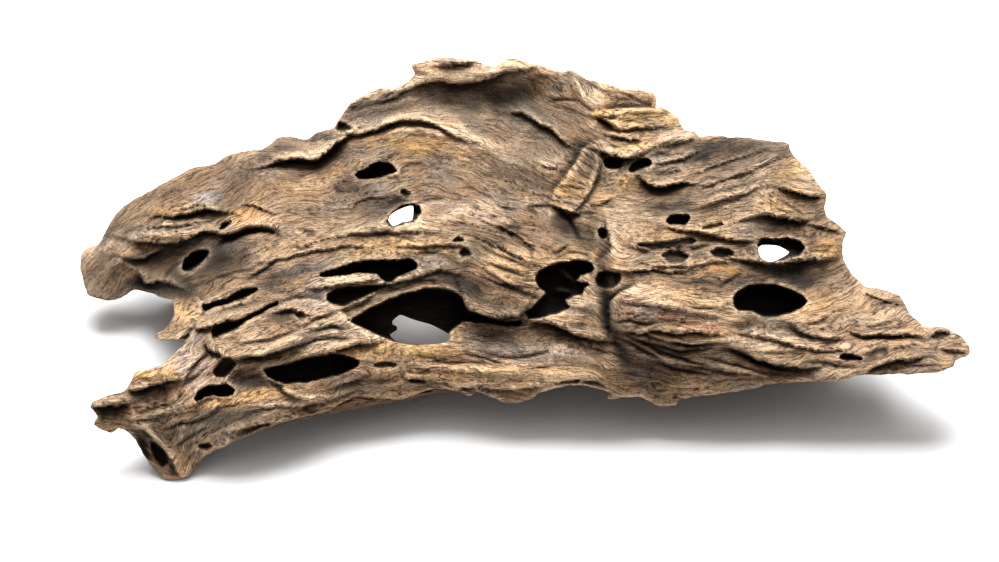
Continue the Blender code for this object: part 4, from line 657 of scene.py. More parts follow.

# Soft patches of colour, laid one over the other: tone, strength, place, half sizes and slant.
# Most are the wood's own tones; char and umber patches under ledges paint shade, some pale ones paint
# highlight.
PATCHES: list[Patch] = [Patch(tone, strength, (u, v), *rest) for tone, strength, u, v, *rest in (
    # The lobe; char and umber under its flakes and lip are painted shade.
    (ASH, 0.55, 118, 244, 42, 34, 50), (BROWN, 0.45, 190, 178, 50, 14, 30),
    (ASH, 0.5, 262, 168, 28, 14), (UMBER, 0.35, 222, 166, 10, 8, 40), (TAN, 0.6, 128, 214, 22, 12, 40),
    (ROSE, 0.4, 92, 266, 14, 14), (AMBER, 0.9, 244, 216, 15, 10, 20), (PALE, 0.7, 250, 213, 9, 6, 40),
    (HONEY, 0.7, 229, 194, 6, 4), (LILAC, 0.9, 206, 196, 16, 6, -5), (PALE, 0.7, 184, 204, 18, 4, 12),
    (HONEY, 0.8, 184, 212, 24, 3, 4), (HONEY, 0.9, 140, 250, 16, 6, 15),
    (PALE, 0.75, 164, 230, 34, 9, 12), (UMBER, 0.8, 172, 256, 36, 11, 15), (CHAR, 0.7, 218, 207, 12, 5),
    (CHAR, 0.85, 150, 289, 34, 7, -8), (BROWN, 0.6, 120, 275, 16, 10), (ROSE, 0.5, 270, 215, 14, 14),
    (TAN, 0.4, 230, 268, 40, 14, 20), (PALE, 0.5, 286, 262, 26, 5, 25),
    # The upper middle; umber in the bowl under the crest is painted shade, pale along the rim a painted
    # highlight.
    (ROSE, 0.6, 300, 148, 26, 8, -20), (STONE, 0.8, 322, 136, 14, 6), (ASH, 0.85, 385, 100, 44, 14, 25),
    (STONE, 0.5, 392, 96, 20, 6, 30), (SILVER, 0.5, 370, 118, 26, 7, 15),
    (ASH, 0.9, 455, 102, 54, 15, -4), (STONE, 0.6, 450, 90, 44, 7), (UMBER, 0.75, 505, 94, 40, 12, -8),
    (STONE, 0.7, 530, 118, 34, 20, -30), (HONEY, 0.35, 445, 102, 12, 6), (PALE, 0.8, 465, 74, 40, 5, 5),
    (BROWN, 0.6, 540, 78, 30, 8, -12), (UMBER, 0.5, 530, 76, 26, 6, 5), (PALE, 0.6, 420, 112, 44, 5, 8),
    (PALE, 0.7, 480, 140, 34, 8, -28), (PALE, 0.6, 425, 132, 40, 5, -4),
    (PALE, 0.5, 525, 150, 26, 12, -20), (HONEY, 0.75, 420, 148, 48, 10, -8),
    (AMBER, 0.35, 425, 146, 40, 9, -10), (HONEY, 0.5, 330, 172, 40, 9, 25),
    (BROWN, 0.45, 450, 178, 60, 12, -5), (SILVER, 0.7, 380, 189, 20, 6), (UMBER, 0.5, 345, 187, 16, 6),
    (UMBER, 0.6, 405, 194, 10, 6), (UMBER, 0.5, 450, 163, 20, 4, -6),
    (BROWN, 0.4, 520, 178, 34, 10, -14), (STONE, 0.4, 540, 186, 16, 8),
    (PALE, 0.6, 545, 160, 18, 8, -20),
    # The middle; umber beside the bulge and the hollows is painted shade.
    (TAN, 0.6, 310, 205, 40, 22), (HONEY, 0.35, 300, 190, 30, 8, -10), (ASH, 0.5, 378, 205, 12, 12, 60),
    (ROSE, 0.8, 428, 208, 14, 8), (SILVER, 0.6, 455, 210, 16, 8), (HONEY, 0.6, 388, 246, 58, 9, 2),
    (PALE, 0.7, 500, 206, 40, 7, 5), (HONEY, 0.35, 510, 258, 26, 26, -25),
    (UMBER, 0.5, 478, 282, 14, 22, -40), (BROWN, 0.5, 498, 286, 40, 10, -20),
    (UMBER, 0.35, 505, 232, 26, 7, 20), (ROSE, 0.4, 495, 218, 20, 6),
    (SILVER, 0.8, 305, 268, 34, 7, 12), (STONE, 0.5, 318, 268, 18, 5, 12),
    (SILVER, 0.7, 320, 296, 20, 14), (SILVER, 0.6, 430, 262, 14, 7), (UMBER, 0.6, 416, 286, 44, 5, 16),
    (BROWN, 0.5, 372, 300, 30, 5, 28),
    # The plates and arms of the lower left; umber under the flakes and plates is painted shade.
    (HONEY, 0.5, 186, 308, 14, 26, 60), (PALE, 0.5, 212, 297, 18, 4, 10),
    (PALE, 0.4, 225, 314, 34, 5, 16), (SILVER, 0.85, 198, 335, 12, 9),
    (SILVER, 0.75, 192, 368, 22, 22, 45), (ROSE, 0.5, 205, 362, 20, 14, 42),
    (TAN, 0.6, 255, 338, 40, 10, 12), (PALE, 0.6, 235, 344, 28, 5, 6),
    (UMBER, 0.45, 285, 314, 18, 7, 10), (PALE, 0.75, 345, 328, 34, 9, -24),
    (PALE, 0.6, 310, 344, 30, 6, 14), (BROWN, 0.5, 262, 362, 30, 4, 8),
    (AMBER, 0.9, 150, 378, 24, 6, 2), (HONEY, 0.8, 152, 373, 20, 4, 0),
    (UMBER, 0.8, 148, 394, 20, 6, 8), (HONEY, 0.4, 166, 366, 8, 5), (ROSE, 0.7, 110, 399, 20, 4, 14),
    (UMBER, 0.7, 112, 412, 18, 6), (BROWN, 0.6, 108, 424, 16, 8), (PALE, 0.75, 160, 413, 34, 7, 18),
    (HONEY, 0.55, 235, 402, 40, 6, 10), (AMBER, 0.35, 215, 408, 16, 5, 30),
    (ASH, 0.7, 205, 424, 50, 13, 22), (STONE, 0.4, 190, 430, 40, 10, 25),
    (BROWN, 0.5, 170, 440, 20, 10, 45), (UMBER, 0.8, 150, 450, 12, 16, 60),
    (HONEY, 0.5, 185, 466, 9, 10), (SILVER, 0.5, 228, 436, 16, 8, 30), (HONEY, 0.5, 270, 392, 26, 6),
    (PALE, 0.7, 300, 399, 18, 4), (UMBER, 0.6, 300, 374, 50, 12, 5), (ASH, 0.6, 250, 412, 30, 8, 10),
    # The lower middle and the front lip; umber under the lip is painted shade.
    (HONEY, 0.7, 392, 350, 44, 8, 2), (PALE, 0.5, 420, 362, 40, 5), (UMBER, 0.55, 362, 390, 36, 9, 8),
    (UMBER, 0.6, 420, 385, 26, 6, 8), (ASH, 0.5, 370, 386, 20, 5, -20),
    (HONEY, 0.9, 520, 375, 90, 5, 1), (PALE, 0.6, 530, 376, 60, 4), (BROWN, 0.75, 505, 394, 44, 6),
    (SILVER, 0.65, 540, 352, 60, 10), (STONE, 0.6, 490, 340, 36, 9, -10), (ASH, 0.5, 480, 350, 30, 8),
    (HONEY, 0.3, 455, 335, 8, 14), (UMBER, 0.8, 582, 383, 30, 4), (HONEY, 0.5, 625, 390, 18, 7, -20),
    # The junction; umber under the knob and in the grooves is painted shade.
    (PALE, 0.55, 592, 100, 18, 8, -50), (BROWN, 0.4, 630, 96, 26, 7, -15),
    (HONEY, 0.7, 640, 122, 40, 12), (AMBER, 0.35, 650, 124, 30, 8), (HONEY, 0.9, 608, 113, 14, 5),
    (HONEY, 0.6, 625, 146, 24, 6), (PALE, 0.8, 676, 138, 22, 4, 14),
    (BROWN, 0.5, 590, 165, 14, 18, -40), (HONEY, 0.8, 570, 192, 18, 12, -10),
    (AMBER, 0.5, 556, 194, 8, 12), (RUST, 0.45, 605, 178, 14, 7), (HONEY, 0.6, 612, 192, 24, 9, 30),
    (SILVER, 0.55, 666, 162, 24, 14), (UMBER, 0.5, 668, 190, 26, 6), (PALE, 0.7, 622, 218, 16, 20, 60),
    (PALE, 0.6, 545, 215, 10, 10), (ROSE, 0.5, 550, 240, 18, 8, 15), (UMBER, 0.6, 563, 222, 8, 14),
    (UMBER, 0.65, 590, 232, 14, 13), (HONEY, 0.65, 572, 254, 26, 6), (PALE, 0.6, 575, 305, 30, 9, 10),
    (HONEY, 0.4, 575, 313, 34, 6, 8), (ASH, 0.4, 585, 328, 24, 6, -12),
    # The right-hand face; char and umber under the flakes, ledges and boss are painted shade.
    (BROWN, 0.55, 720, 148, 40, 10, 15), (STONE, 0.35, 770, 148, 24, 6),
    (ASH, 0.4, 740, 170, 60, 16, 26), (PALE, 0.45, 742, 184, 46, 8, 26),
    (HONEY, 0.55, 790, 172, 16, 10, 30), (HONEY, 0.95, 802, 190, 20, 6, -8),
    (HONEY, 0.85, 784, 210, 22, 6, -20), (CHAR, 0.5, 780, 225, 24, 5),
    (PALE, 0.5, 650, 214, 26, 12, 10), (ROSE, 0.4, 640, 255, 26, 6, 5), (PALE, 0.6, 650, 256, 26, 5),
    (UMBER, 0.6, 675, 242, 36, 6), (UMBER, 0.5, 706, 244, 26, 7), (AMBER, 0.7, 722, 267, 20, 4, -4),
    (HONEY, 0.6, 715, 262, 26, 5, -5), (BROWN, 0.5, 700, 285, 36, 5, -5),
    (HONEY, 0.8, 828, 250, 16, 8, -10), (UMBER, 0.7, 780, 270, 44, 7, -2),
    (ASH, 0.35, 745, 232, 30, 8, 10), (PALE, 0.55, 735, 228, 34, 5, 12),
    (ROSE, 0.7, 650, 298, 40, 12, -5), (HONEY, 0.45, 690, 304, 36, 12, -8),
    (LILAC, 0.45, 650, 312, 14, 8), (RUST, 0.6, 690, 323, 36, 6, -8), (UMBER, 0.6, 640, 324, 24, 4),
    (HONEY, 0.7, 692, 337, 36, 3, -4), (UMBER, 0.9, 640, 368, 22, 18, -40),
    (UMBER, 0.7, 680, 352, 50, 8, -16), (BROWN, 0.75, 700, 372, 60, 10, -6),
    (BROWN, 0.6, 650, 392, 40, 8, -6), (HONEY, 0.35, 830, 305, 34, 14, 15),
    (PALE, 0.35, 862, 292, 30, 12, 30), (ASH, 0.7, 862, 319, 9, 4), (STONE, 0.6, 798, 328, 18, 6, -20),
    (ASH, 0.5, 830, 318, 26, 5), (PALE, 0.6, 770, 345, 50, 7, -2), (ROSE, 0.5, 840, 345, 40, 5),
    (SILVER, 0.4, 770, 330, 26, 7), (UMBER, 0.6, 740, 356, 30, 6, -12), (BROWN, 0.5, 780, 376, 70, 5),
    (PALE, 0.6, 832, 372, 26, 4), (HONEY, 0.5, 935, 362, 20, 5), (BROWN, 0.6, 900, 370, 30, 4),
    (UMBER, 0.4, 940, 336, 12, 5), (PALE, 0.4, 925, 345, 34, 4), (UMBER, 0.4, 750, 325, 20, 6),
    (AMBER, 0.8, 249, 214, 15, 10, 30), (AMBER, 0.7, 180, 211, 24, 4),
    (AMBER, 0.6, 145, 246, 24, 7, 10), (AMBER, 0.8, 604, 116, 18, 6), (HONEY, 0.8, 640, 118, 34, 10),
    (AMBER, 0.7, 798, 188, 20, 8, -10), (AMBER, 0.8, 150, 374, 24, 6),
    (AMBER, 0.5, 238, 402, 36, 6, 10), (AMBER, 0.6, 562, 188, 14, 8, 40), (HONEY, 0.8, 615, 180, 24, 8),
    (AMBER, 0.5, 730, 268, 22, 5, -4), (AMBER, 0.6, 830, 248, 12, 7), (HONEY, 0.6, 420, 352, 40, 8),
    (HONEY, 0.5, 690, 232, 40, 10),
)]

# Lines of colour over the patches: stains, painted shade and painted highlights.
STAINS_AND_SHADING: list[StainAndShading] = [
    # Painted shade under the lobe's lip.
    StainAndShading(CHAR, 0.95, 6, [(126, 283), (138, 287), (150, 289), (162, 289), (176, 293)]),
    # Pale lines along lips and ridges: wear and painted highlight.
    StainAndShading(PALE, 0.9, 4, [
        (270, 154), (300, 153), (316, 154), (326, 147), (345, 130), (375, 125), (400, 114), (425, 115),
        (446, 126),
    ]),
    StainAndShading(PALE, 0.8, 4, [(440, 75), (460, 77), (490, 74), (510, 66), (540, 66)]),
    StainAndShading(PALE, 0.8, 4, [
        (300, 251), (330, 238), (352, 229), (372, 224), (400, 223), (430, 221), (452, 216), (468, 205),
        (500, 199),
    ]),
    StainAndShading(PALE, 1.0, 4, [(243, 354), (262, 351), (285, 344), (308, 334), (330, 322)]),
    StainAndShading(PALE, 0.7, 3, [(317, 281), (350, 277), (379, 277)]),
    StainAndShading(PALE, 0.8, 2, [(342, 307), (362, 299), (385, 283), (398, 278), (438, 267)]),
    StainAndShading(PALE, 0.8, 3, [(438, 128), (460, 131), (480, 142), (500, 156), (525, 166)]),
    StainAndShading(PALE, 0.7, 2, [(124, 262), (135, 268), (142, 275), (145, 283), (158, 281)]),
    StainAndShading(PALE, 0.7, 2, [(130, 427), (147, 428), (156, 440), (166, 450), (175, 462)]),
    StainAndShading(PALE, 0.8, 3, [(326, 304), (345, 316), (365, 330), (378, 340)]),
    StainAndShading(PALE, 0.8, 2, [(219, 384), (228, 378), (237, 368)]),
    # A honey edge, the wood's own colour; the pale lines after it are again wear and painted highlight.
    StainAndShading(HONEY, 0.8, 2, [(601, 141), (590, 144), (578, 160), (562, 179), (552, 196)]),
    StainAndShading(PALE, 0.7, 2, [(660, 146), (680, 140), (694, 135)]),
    StainAndShading(PALE, 0.7, 2, [(575, 78), (580, 90), (590, 104)]),
    StainAndShading(PALE, 0.8, 3, [(640, 196), (620, 210), (609, 224), (612, 240), (613, 250), (600, 263)]),
    StainAndShading(PALE, 0.7, 2, [(611, 300), (611, 320), (612, 334)]),
    StainAndShading(PALE, 0.7, 3, [(758, 262), (775, 264), (800, 260), (828, 259)]),
    StainAndShading(PALE, 0.8, 2, [(535, 396), (552, 389), (566, 386), (582, 385), (600, 390)]),
    StainAndShading(PALE, 0.6, 2, [(607, 397), (640, 396), (660, 404), (676, 404)]),
    # Painted shade in creases.
    StainAndShading(UMBER, 0.6, 3, [(412, 356), (430, 358), (450, 363), (480, 364)]),
    StainAndShading(UMBER, 0.5, 4, [(600, 270), (606, 300), (608, 322), (618, 345)]),
    StainAndShading(UMBER, 0.6, 4, [(480, 262), (484, 280), (492, 296)]),
]

# Where the surface is crumbly and speckled rather than fibrous.
CRUMBLY: list[Area] = areas({
    1.0: [
        (188, 310, 16, 26, 60), (610, 118, 16, 12),
    ],
    0.9: [
        (390, 247, 60, 12), (668, 162, 26, 16), (612, 180, 24, 14), (430, 263, 14, 8),
        (770, 200, 26, 14, 30), (230, 434, 24, 9, 30), (608, 280, 14, 12), (562, 275, 18, 10),
        (430, 172, 14, 5),
    ],
    0.8: [
        (455, 164, 26, 6, -5), (340, 170, 40, 8, 30), (750, 330, 40, 12), (220, 205, 16, 10),
        (640, 150, 24, 8), (285, 312, 18, 8),
    ],
    0.7: [
        (390, 352, 44, 8), (560, 345, 44, 10), (255, 170, 30, 12),
    ],
    0.6: [
        (640, 235, 26, 12), (590, 232, 14, 14),
    ],
})

# Where the surface is worn smooth, so that the fibres hardly show.
SMOOTH: list[Area] = areas({
    0.8: [
        (455, 104, 56, 16, -4),
    ],
    0.7: [
        (110, 250, 40, 34, 50), (550, 232, 14, 24), (440, 209, 24, 9), (300, 148, 26, 8, -20),
        (160, 262, 30, 12, 15),
    ],
    0.6: [
        (520, 110, 44, 24, -30), (520, 150, 34, 14, -20), (400, 115, 44, 8, 10), (460, 73, 44, 6),
    ],
})

# Soft spots that lighten the colour, above 0, and darken it, below 0.
# Partly the wood's own lighter and darker patches, partly painted highlight on rims and lips and painted
# shade in and round the hollows.
SHADES: list[Area] = areas({
    0.8: [
        (400, 354, 70, 13, -2), (505, 374, 80, 11, -2), (448, 98, 60, 12),
    ],
    0.7: [
        (190, 368, 20, 34, 62), (155, 412, 40, 10, 8), (480, 374, 84, 9), (450, 95, 54, 12),
    ],
    0.6: [
        (345, 340, 40, 12, 10), (262, 400, 60, 9, 6), (480, 76, 44, 9, 4), (500, 377, 60, 7),
        (520, 86, 40, 14, -8), (556, 168, 16, 10, -40),
    ],
    0.55: [
        (680, 303, 62, 18, -14),
    ],
    0.5: [
        (440, 66, 40, 9), (93, 255, 14, 18, 50), (150, 238, 44, 8, 4), (256, 221, 28, 10, -6),
        (510, 268, 42, 14, -6), (612, 250, 14, 20, 60), (285, 336, 56, 12, 14), (318, 314, 16, 12),
        (262, 226, 18, 8), (602, 116, 12, 12), (480, 72, 44, 9, 2), (450, 362, 60, 12, -4),
        (365, 344, 40, 7, -4), (430, 362, 44, 8), (805, 343, 44, 8, -6), (695, 309, 44, 7, -8),
        (184, 380, 10, 12, 50), (420, 364, 34, 8), (175, 386, 14, 12, 50), (800, 342, 54, 8, -4),
        (670, 306, 54, 8, -8), (808, 342, 44, 8, -6), (690, 308, 50, 9, -8), (430, 364, 40, 8),
        (500, 376, 44, 8), (182, 380, 12, 14, 50), (188, 378, 12, 14, 50), (806, 341, 40, 7, -6),
        (486, 276, 14, 8),
    ],
    0.45: [
        (520, 66, 44, 9, -8), (620, 92, 44, 9, -12), (576, 306, 24, 10, 25), (692, 316, 50, 14, -10),
        (680, 306, 44, 8, -10),
    ],
    0.4: [
        (395, 94, 50, 9, 22), (675, 122, 22, 12, -45), (126, 262, 14, 7, -30), (812, 180, 18, 24, -45),
        (832, 246, 12, 22, -60), (812, 315, 24, 12), (800, 346, 44, 8, -6), (945, 358, 24, 8, 8),
        (880, 315, 40, 14, -14), (182, 320, 16, 22, 60), (450, 128, 40, 8, -18), (672, 138, 24, 6, 14),
        (340, 282, 30, 8, 10), (418, 229, 14, 6), (438, 248, 14, 5), (515, 66, 26, 6),
        (566, 262, 10, 8), (614, 256, 10, 10), (365, 342, 40, 8, -6), (162, 412, 24, 7, 8),
        (730, 236, 34, 6, -6), (610, 262, 12, 10), (370, 92, 36, 7, 20), (806, 178, 14, 20, -40),
        (540, 376, 40, 9), (190, 372, 12, 24, 55), (500, 272, 24, 9), (418, 128, 36, 6),
        (335, 146, 20, 6, 40), (262, 220, 16, 7), (800, 342, 40, 7, -6), (622, 148, 24, 6),
        (152, 414, 24, 7), (150, 414, 26, 8), (680, 338, 40, 8), (360, 347, 40, 8, -6),
        (602, 262, 10, 12), (390, 98, 30, 8, 20), (640, 108, 34, 18), (575, 346, 24, 9),
        (154, 413, 24, 8), (285, 402, 24, 8), (486, 276, 14, 8), (512, 266, 18, 9), (560, 268, 12, 12),
        (602, 262, 12, 14), (605, 118, 12, 16), (300, 248, 24, 8, 10), (134, 246, 20, 9),
        (575, 212, 24, 10, 30), (440, 134, 40, 8, -20), (160, 415, 26, 8), (575, 345, 24, 9),
        (610, 120, 14, 12), (430, 248, 18, 8), (138, 245, 16, 9),
    ],
    0.35: [
        (590, 100, 14, 16, -60), (890, 338, 60, 12, -4), (640, 146, 26, 8), (480, 212, 30, 9, 10),
        (500, 216, 20, 10), (150, 372, 22, 8, 6),
    ],
    0.3: [
        (745, 205, 40, 14, 20), (360, 158, 40, 8, 24), (300, 150, 30, 8), (134, 242, 20, 9),
        (368, 96, 30, 8, 20), (192, 380, 12, 14, 55), (810, 343, 36, 7, -4), (690, 300, 40, 10, -12),
        (510, 160, 20, 12, -20), (446, 136, 20, 7, -20), (575, 310, 14, 8), (870, 298, 14, 10),
        (815, 316, 16, 9), (310, 314, 12, 8), (432, 247, 20, 7), (485, 275, 18, 8), (500, 262, 14, 10),
        (285, 352, 30, 8), (456, 90, 40, 14), (515, 78, 34, 12, -8), (610, 118, 20, 20, -60),
        (672, 140, 20, 7, 12), (256, 222, 24, 10, -10), (138, 245, 24, 8), (112, 268, 20, 8),
        (620, 285, 24, 10), (690, 266, 30, 8), (465, 218, 20, 8), (770, 170, 20, 12, 30),
        (800, 318, 14, 8), (470, 370, 74, 10), (560, 270, 12, 12), (728, 206, 20, 8), (366, 345, 24, 8),
        (295, 285, 14, 9, 20),
    ],
    -0.2: [
        (352, 182, 14, 16), (370, 186, 34, 26), (500, 205, 50, 8),
    ],
    -0.25: [
        (432, 162, 26, 12), (362, 190, 26, 14), (520, 182, 36, 10, -14), (210, 205, 18, 8),
    ],
    -0.3: [
        (240, 172, 20, 10, 20), (470, 250, 20, 16, -50), (242, 182, 12, 24), (314, 268, 20, 6),
        (466, 288, 28, 10, -30), (510, 240, 14, 7, -20), (645, 372, 28, 10, -8), (250, 384, 18, 7),
        (818, 206, 10, 8), (472, 254, 14, 8, 20), (395, 200, 20, 8), (372, 113, 26, 6, 12),
        (672, 208, 26, 6), (820, 278, 20, 8), (720, 148, 40, 12, 10), (760, 318, 30, 10),
        (375, 275, 20, 8), (384, 296, 14, 8), (385, 295, 16, 8), (470, 258, 30, 8), (445, 280, 20, 8),
        (790, 282, 40, 10), (770, 320, 40, 8), (250, 382, 30, 14), (680, 210, 50, 7), (365, 208, 30, 8),
        (410, 190, 14, 12), (592, 156, 12, 14), (652, 170, 20, 8), (700, 150, 14, 14),
        (800, 245, 20, 6), (545, 222, 16, 8), (410, 265, 12, 10), (865, 358, 20, 8),
        (735, 145, 60, 9, -4), (130, 200, 30, 10, 40), (360, 180, 24, 14), (525, 155, 24, 10),
        (550, 225, 12, 12), (950, 345, 20, 14, -30), (90, 285, 12, 16), (140, 195, 40, 12, 35),
        (410, 265, 16, 10), (318, 268, 20, 8), (675, 208, 30, 8), (380, 210, 20, 12),
        (265, 380, 22, 14), (215, 380, 12, 10), (235, 418, 22, 8, 16), (225, 205, 22, 10),
        (480, 255, 16, 6), (740, 145, 60, 8, -4), (818, 210, 14, 8), (855, 358, 16, 8),
        (212, 256, 18, 14, 35), (500, 240, 20, 6), (470, 295, 32, 10, -30), (578, 230, 22, 14, -40),
        (670, 211, 30, 5), (722, 150, 38, 12, 8), (680, 257, 40, 6), (280, 319, 14, 6),
        (316, 292, 8, 8), (505, 165, 40, 14, -14), (560, 258, 14, 6),
    ],
    -0.35: [
        (226, 186, 20, 16, 30), (552, 144, 20, 16, -30), (512, 118, 40, 18, -30), (668, 202, 26, 7, 10),
        (732, 356, 22, 8, -10), (284, 316, 16, 8), (286, 274, 34, 9, 18), (462, 262, 18, 14, -50),
        (300, 140, 50, 10, 18), (625, 170, 34, 8), (710, 286, 14, 6), (740, 326, 14, 6, -20),
    ],
    -0.4: [
        (183, 292, 14, 18, 60), (486, 333, 22, 10), (542, 336, 20, 10), (566, 228, 14, 18, -40),
        (784, 230, 28, 8, -8), (350, 386, 24, 8, 10), (184, 293, 10, 10), (205, 252, 14, 16),
        (180, 288, 18, 14), (110, 294, 30, 6), (745, 280, 24, 10), (796, 280, 16, 8), (616, 170, 24, 7),
        (208, 255, 24, 14, 20), (182, 275, 20, 12), (272, 278, 26, 8, 30), (280, 150, 34, 8, 10),
        (308, 136, 24, 6), (455, 286, 30, 10, -25), (510, 312, 18, 8), (800, 283, 18, 10),
        (453, 284, 24, 10, -30), (508, 310, 16, 9), (752, 318, 20, 12), (745, 282, 12, 12),
        (590, 158, 12, 12), (108, 266, 14, 10), (252, 383, 20, 8),
    ],
    -0.45: [
        (312, 171, 34, 8, 14), (168, 276, 28, 14, -10), (277, 283, 22, 10, 38), (466, 283, 32, 12, -40),
        (756, 156, 34, 14, 20), (592, 240, 14, 12), (645, 370, 20, 12), (215, 252, 18, 12, 35),
        (225, 262, 40, 18, 35), (800, 282, 18, 12),
    ],
    -0.5: [
        (700, 154, 28, 12, 10), (806, 275, 34, 9, 6), (250, 383, 20, 8, 8), (188, 274, 22, 14),
        (178, 293, 12, 8),
    ],
    -0.55: [
        (228, 260, 26, 13, 35),
    ],
    -0.6: [
        (135, 293, 30, 6),
    ],
})


class LatticeNoise:
    """Smooth random waves over a plane, the same on every run."""

    SIZE = 512
    SHIFTS = (17.3, 5.1)
    SPREAD = 1.6

    def __init__(self, seed: int) -> None:
        """Fills the lattice.

        Args:
            seed: Chooses one of the possible patterns.
        """
        self.table = np.random.default_rng(seed).uniform(-1.0, 1.0, (self.SIZE, self.SIZE))

    def at(self, x: Array, y: Array) -> Array:
        """Gives the wave at points whose lattice squares are one unit wide.

        Args:
            x: First coordinates.
            y: Second coordinates.

        Returns:
            Values from -1 to 1.
        """
        column, row = np.floor(x).astype(int), np.floor(y).astype(int)
        across, down = x - column, y - row
        across = across ** 3 * (across * (across * 6 - 15) + 10)
        down = down ** 3 * (down * (down * 6 - 15) + 10)
        column, row = column % self.SIZE, row % self.SIZE
        right, below = (column + 1) % self.SIZE, (row + 1) % self.SIZE
        top = self.table[column, row] * (1 - across) + self.table[right, row] * across
        base = self.table[column, below] * (1 - across) + self.table[right, below] * across
        return top * (1 - down) + base * down

    def layers(self, x: Array, y: Array, count: int) -> Array:
        """Sums several waves, each half as long and strong as the one before.

        Args:
            x: First coordinates.
            y: Second coordinates.
            count: Number of waves.

        Returns:
            Values from about -1 to 1.
        """
        total = np.zeros(len(x))
        for level in range(count):
            fine_x, fine_y = x * 2 ** level, y * 2 ** level
            wave = self.at(fine_x + self.SHIFTS[0] * level, fine_y + self.SHIFTS[1] * level)
            total += wave * 0.5 ** level
        return total / self.SPREAD


@dataclass(frozen=True)
class Drawing:
    """The flat grid of the drawing and the point it is seen from, in the part's own frame."""

    unit: float = 0.0004
    width: float = 999.0
    middle: Mark = (499.5, 281.0)
    look_down: float = math.radians(30.0)
    look_from: float = 1.2
    look_at: tuple[float, float, float] = (-0.00433, -0.0224, 0.047)

    def sight(self, u: Array, v: Array) -> tuple[Array, Array]:
        """Gives each mark's point at zero depth and its direction towards the viewer.

        Args:
            u: Marks across the drawing.
            v: Marks down the drawing.

        Returns:
            The points and the directions.
        """
        across = (u - self.middle[0]) * self.unit
        up = (self.middle[1] - v) * self.unit
        sine, cosine = math.sin(self.look_down), math.cos(self.look_down)
        offset = np.stack([across, up * sine, up * cosine], axis=-1)
        towards = np.array((0.0, -cosine, sine)) - offset / self.look_from
        return np.array(self.look_at) + offset, towards

    def place(self, u: Array, v: Array, depth: Array) -> Array:
        """Places marks at a depth towards the viewer, in metres."""
        start, towards = self.sight(u, v)
        return start + towards * depth[..., None]

    def marks(self, places: Array) -> tuple[Array, Array]:
        """Gives the marks and depths of places in the part's frame.

        Args:
            places: Points in metres, one a row.

        Returns:
            The marks, one a row, and the depths.
        """
        sine, cosine = math.sin(self.look_down), math.cos(self.look_down)
        offset = places - np.array(self.look_at)
        depth = offset @ np.array((0.0, -cosine, sine))
        near = 1.0 - depth / self.look_from
        u = self.middle[0] + offset[:, 0] / near / self.unit
        v = self.middle[1] - offset @ np.array((0.0, sine, cosine)) / near / self.unit
        return np.stack([u, v], axis=-1), depth

    def depth_at_height(self, u: Array, v: Array, height: Array | float) -> Array:
        """Gives the depth at which each line of sight passes a height over the ground."""
        start, towards = self.sight(u, v)
        return (height - start[..., 2]) / towards[..., 2]


def spline_through(
    marks: list[tuple[float, float, float]], scale: float = 100.0, slack: float = 0.02
) -> Callable[[Array, Array], Array]:
    """Fits a smooth bending sheet through marks with values.

    Args:
        marks: Places on the drawing, each with its value.
        scale: Squares of the drawing that count as one unit of length.
        slack: How far the sheet may miss the marks to stay smooth.

    Returns:
        A function of u and v that gives the sheet's value.
    """
    table = np.array(marks, float)
    spots = table[:, :2] / scale
    count = len(spots)

    def bend(first: Array, second: Array) -> Array:
        """Gives the bending of each pair of points."""
        gap = ((first[:, None, :] - second[None, :, :]) ** 2).sum(-1)
        return 0.5 * gap * np.log(gap + TINY)

    system = np.zeros((count + 3, count + 3))
    system[:count, :count] = bend(spots, spots) + slack * np.eye(count)
    system[:count, count] = 1.0
    system[:count, count + 1:] = spots
    system[count:, :count] = system[:count, count:].T
    weights = np.linalg.solve(system, np.concatenate([table[:, 2], np.zeros(3)]))

    def value(u: Array, v: Array) -> Array:
        """Gives the sheet's value at marks."""
        points = np.stack([u, v], axis=-1) / scale
        plane = points @ weights[count + 1:]
        return bend(points, spots) @ weights[:count] + weights[count] + plane

    return value


# Points this much further away than the reach still count, past the corners of a line.
NEAR_SHARE = 1.5


@dataclass
class Nearness:
    """How points lie to a line: their numbers, gaps, sides, shares along it and nearest spots."""

    near: Array
    gap: Array
    side: Array
    along: Array
    spot: Array


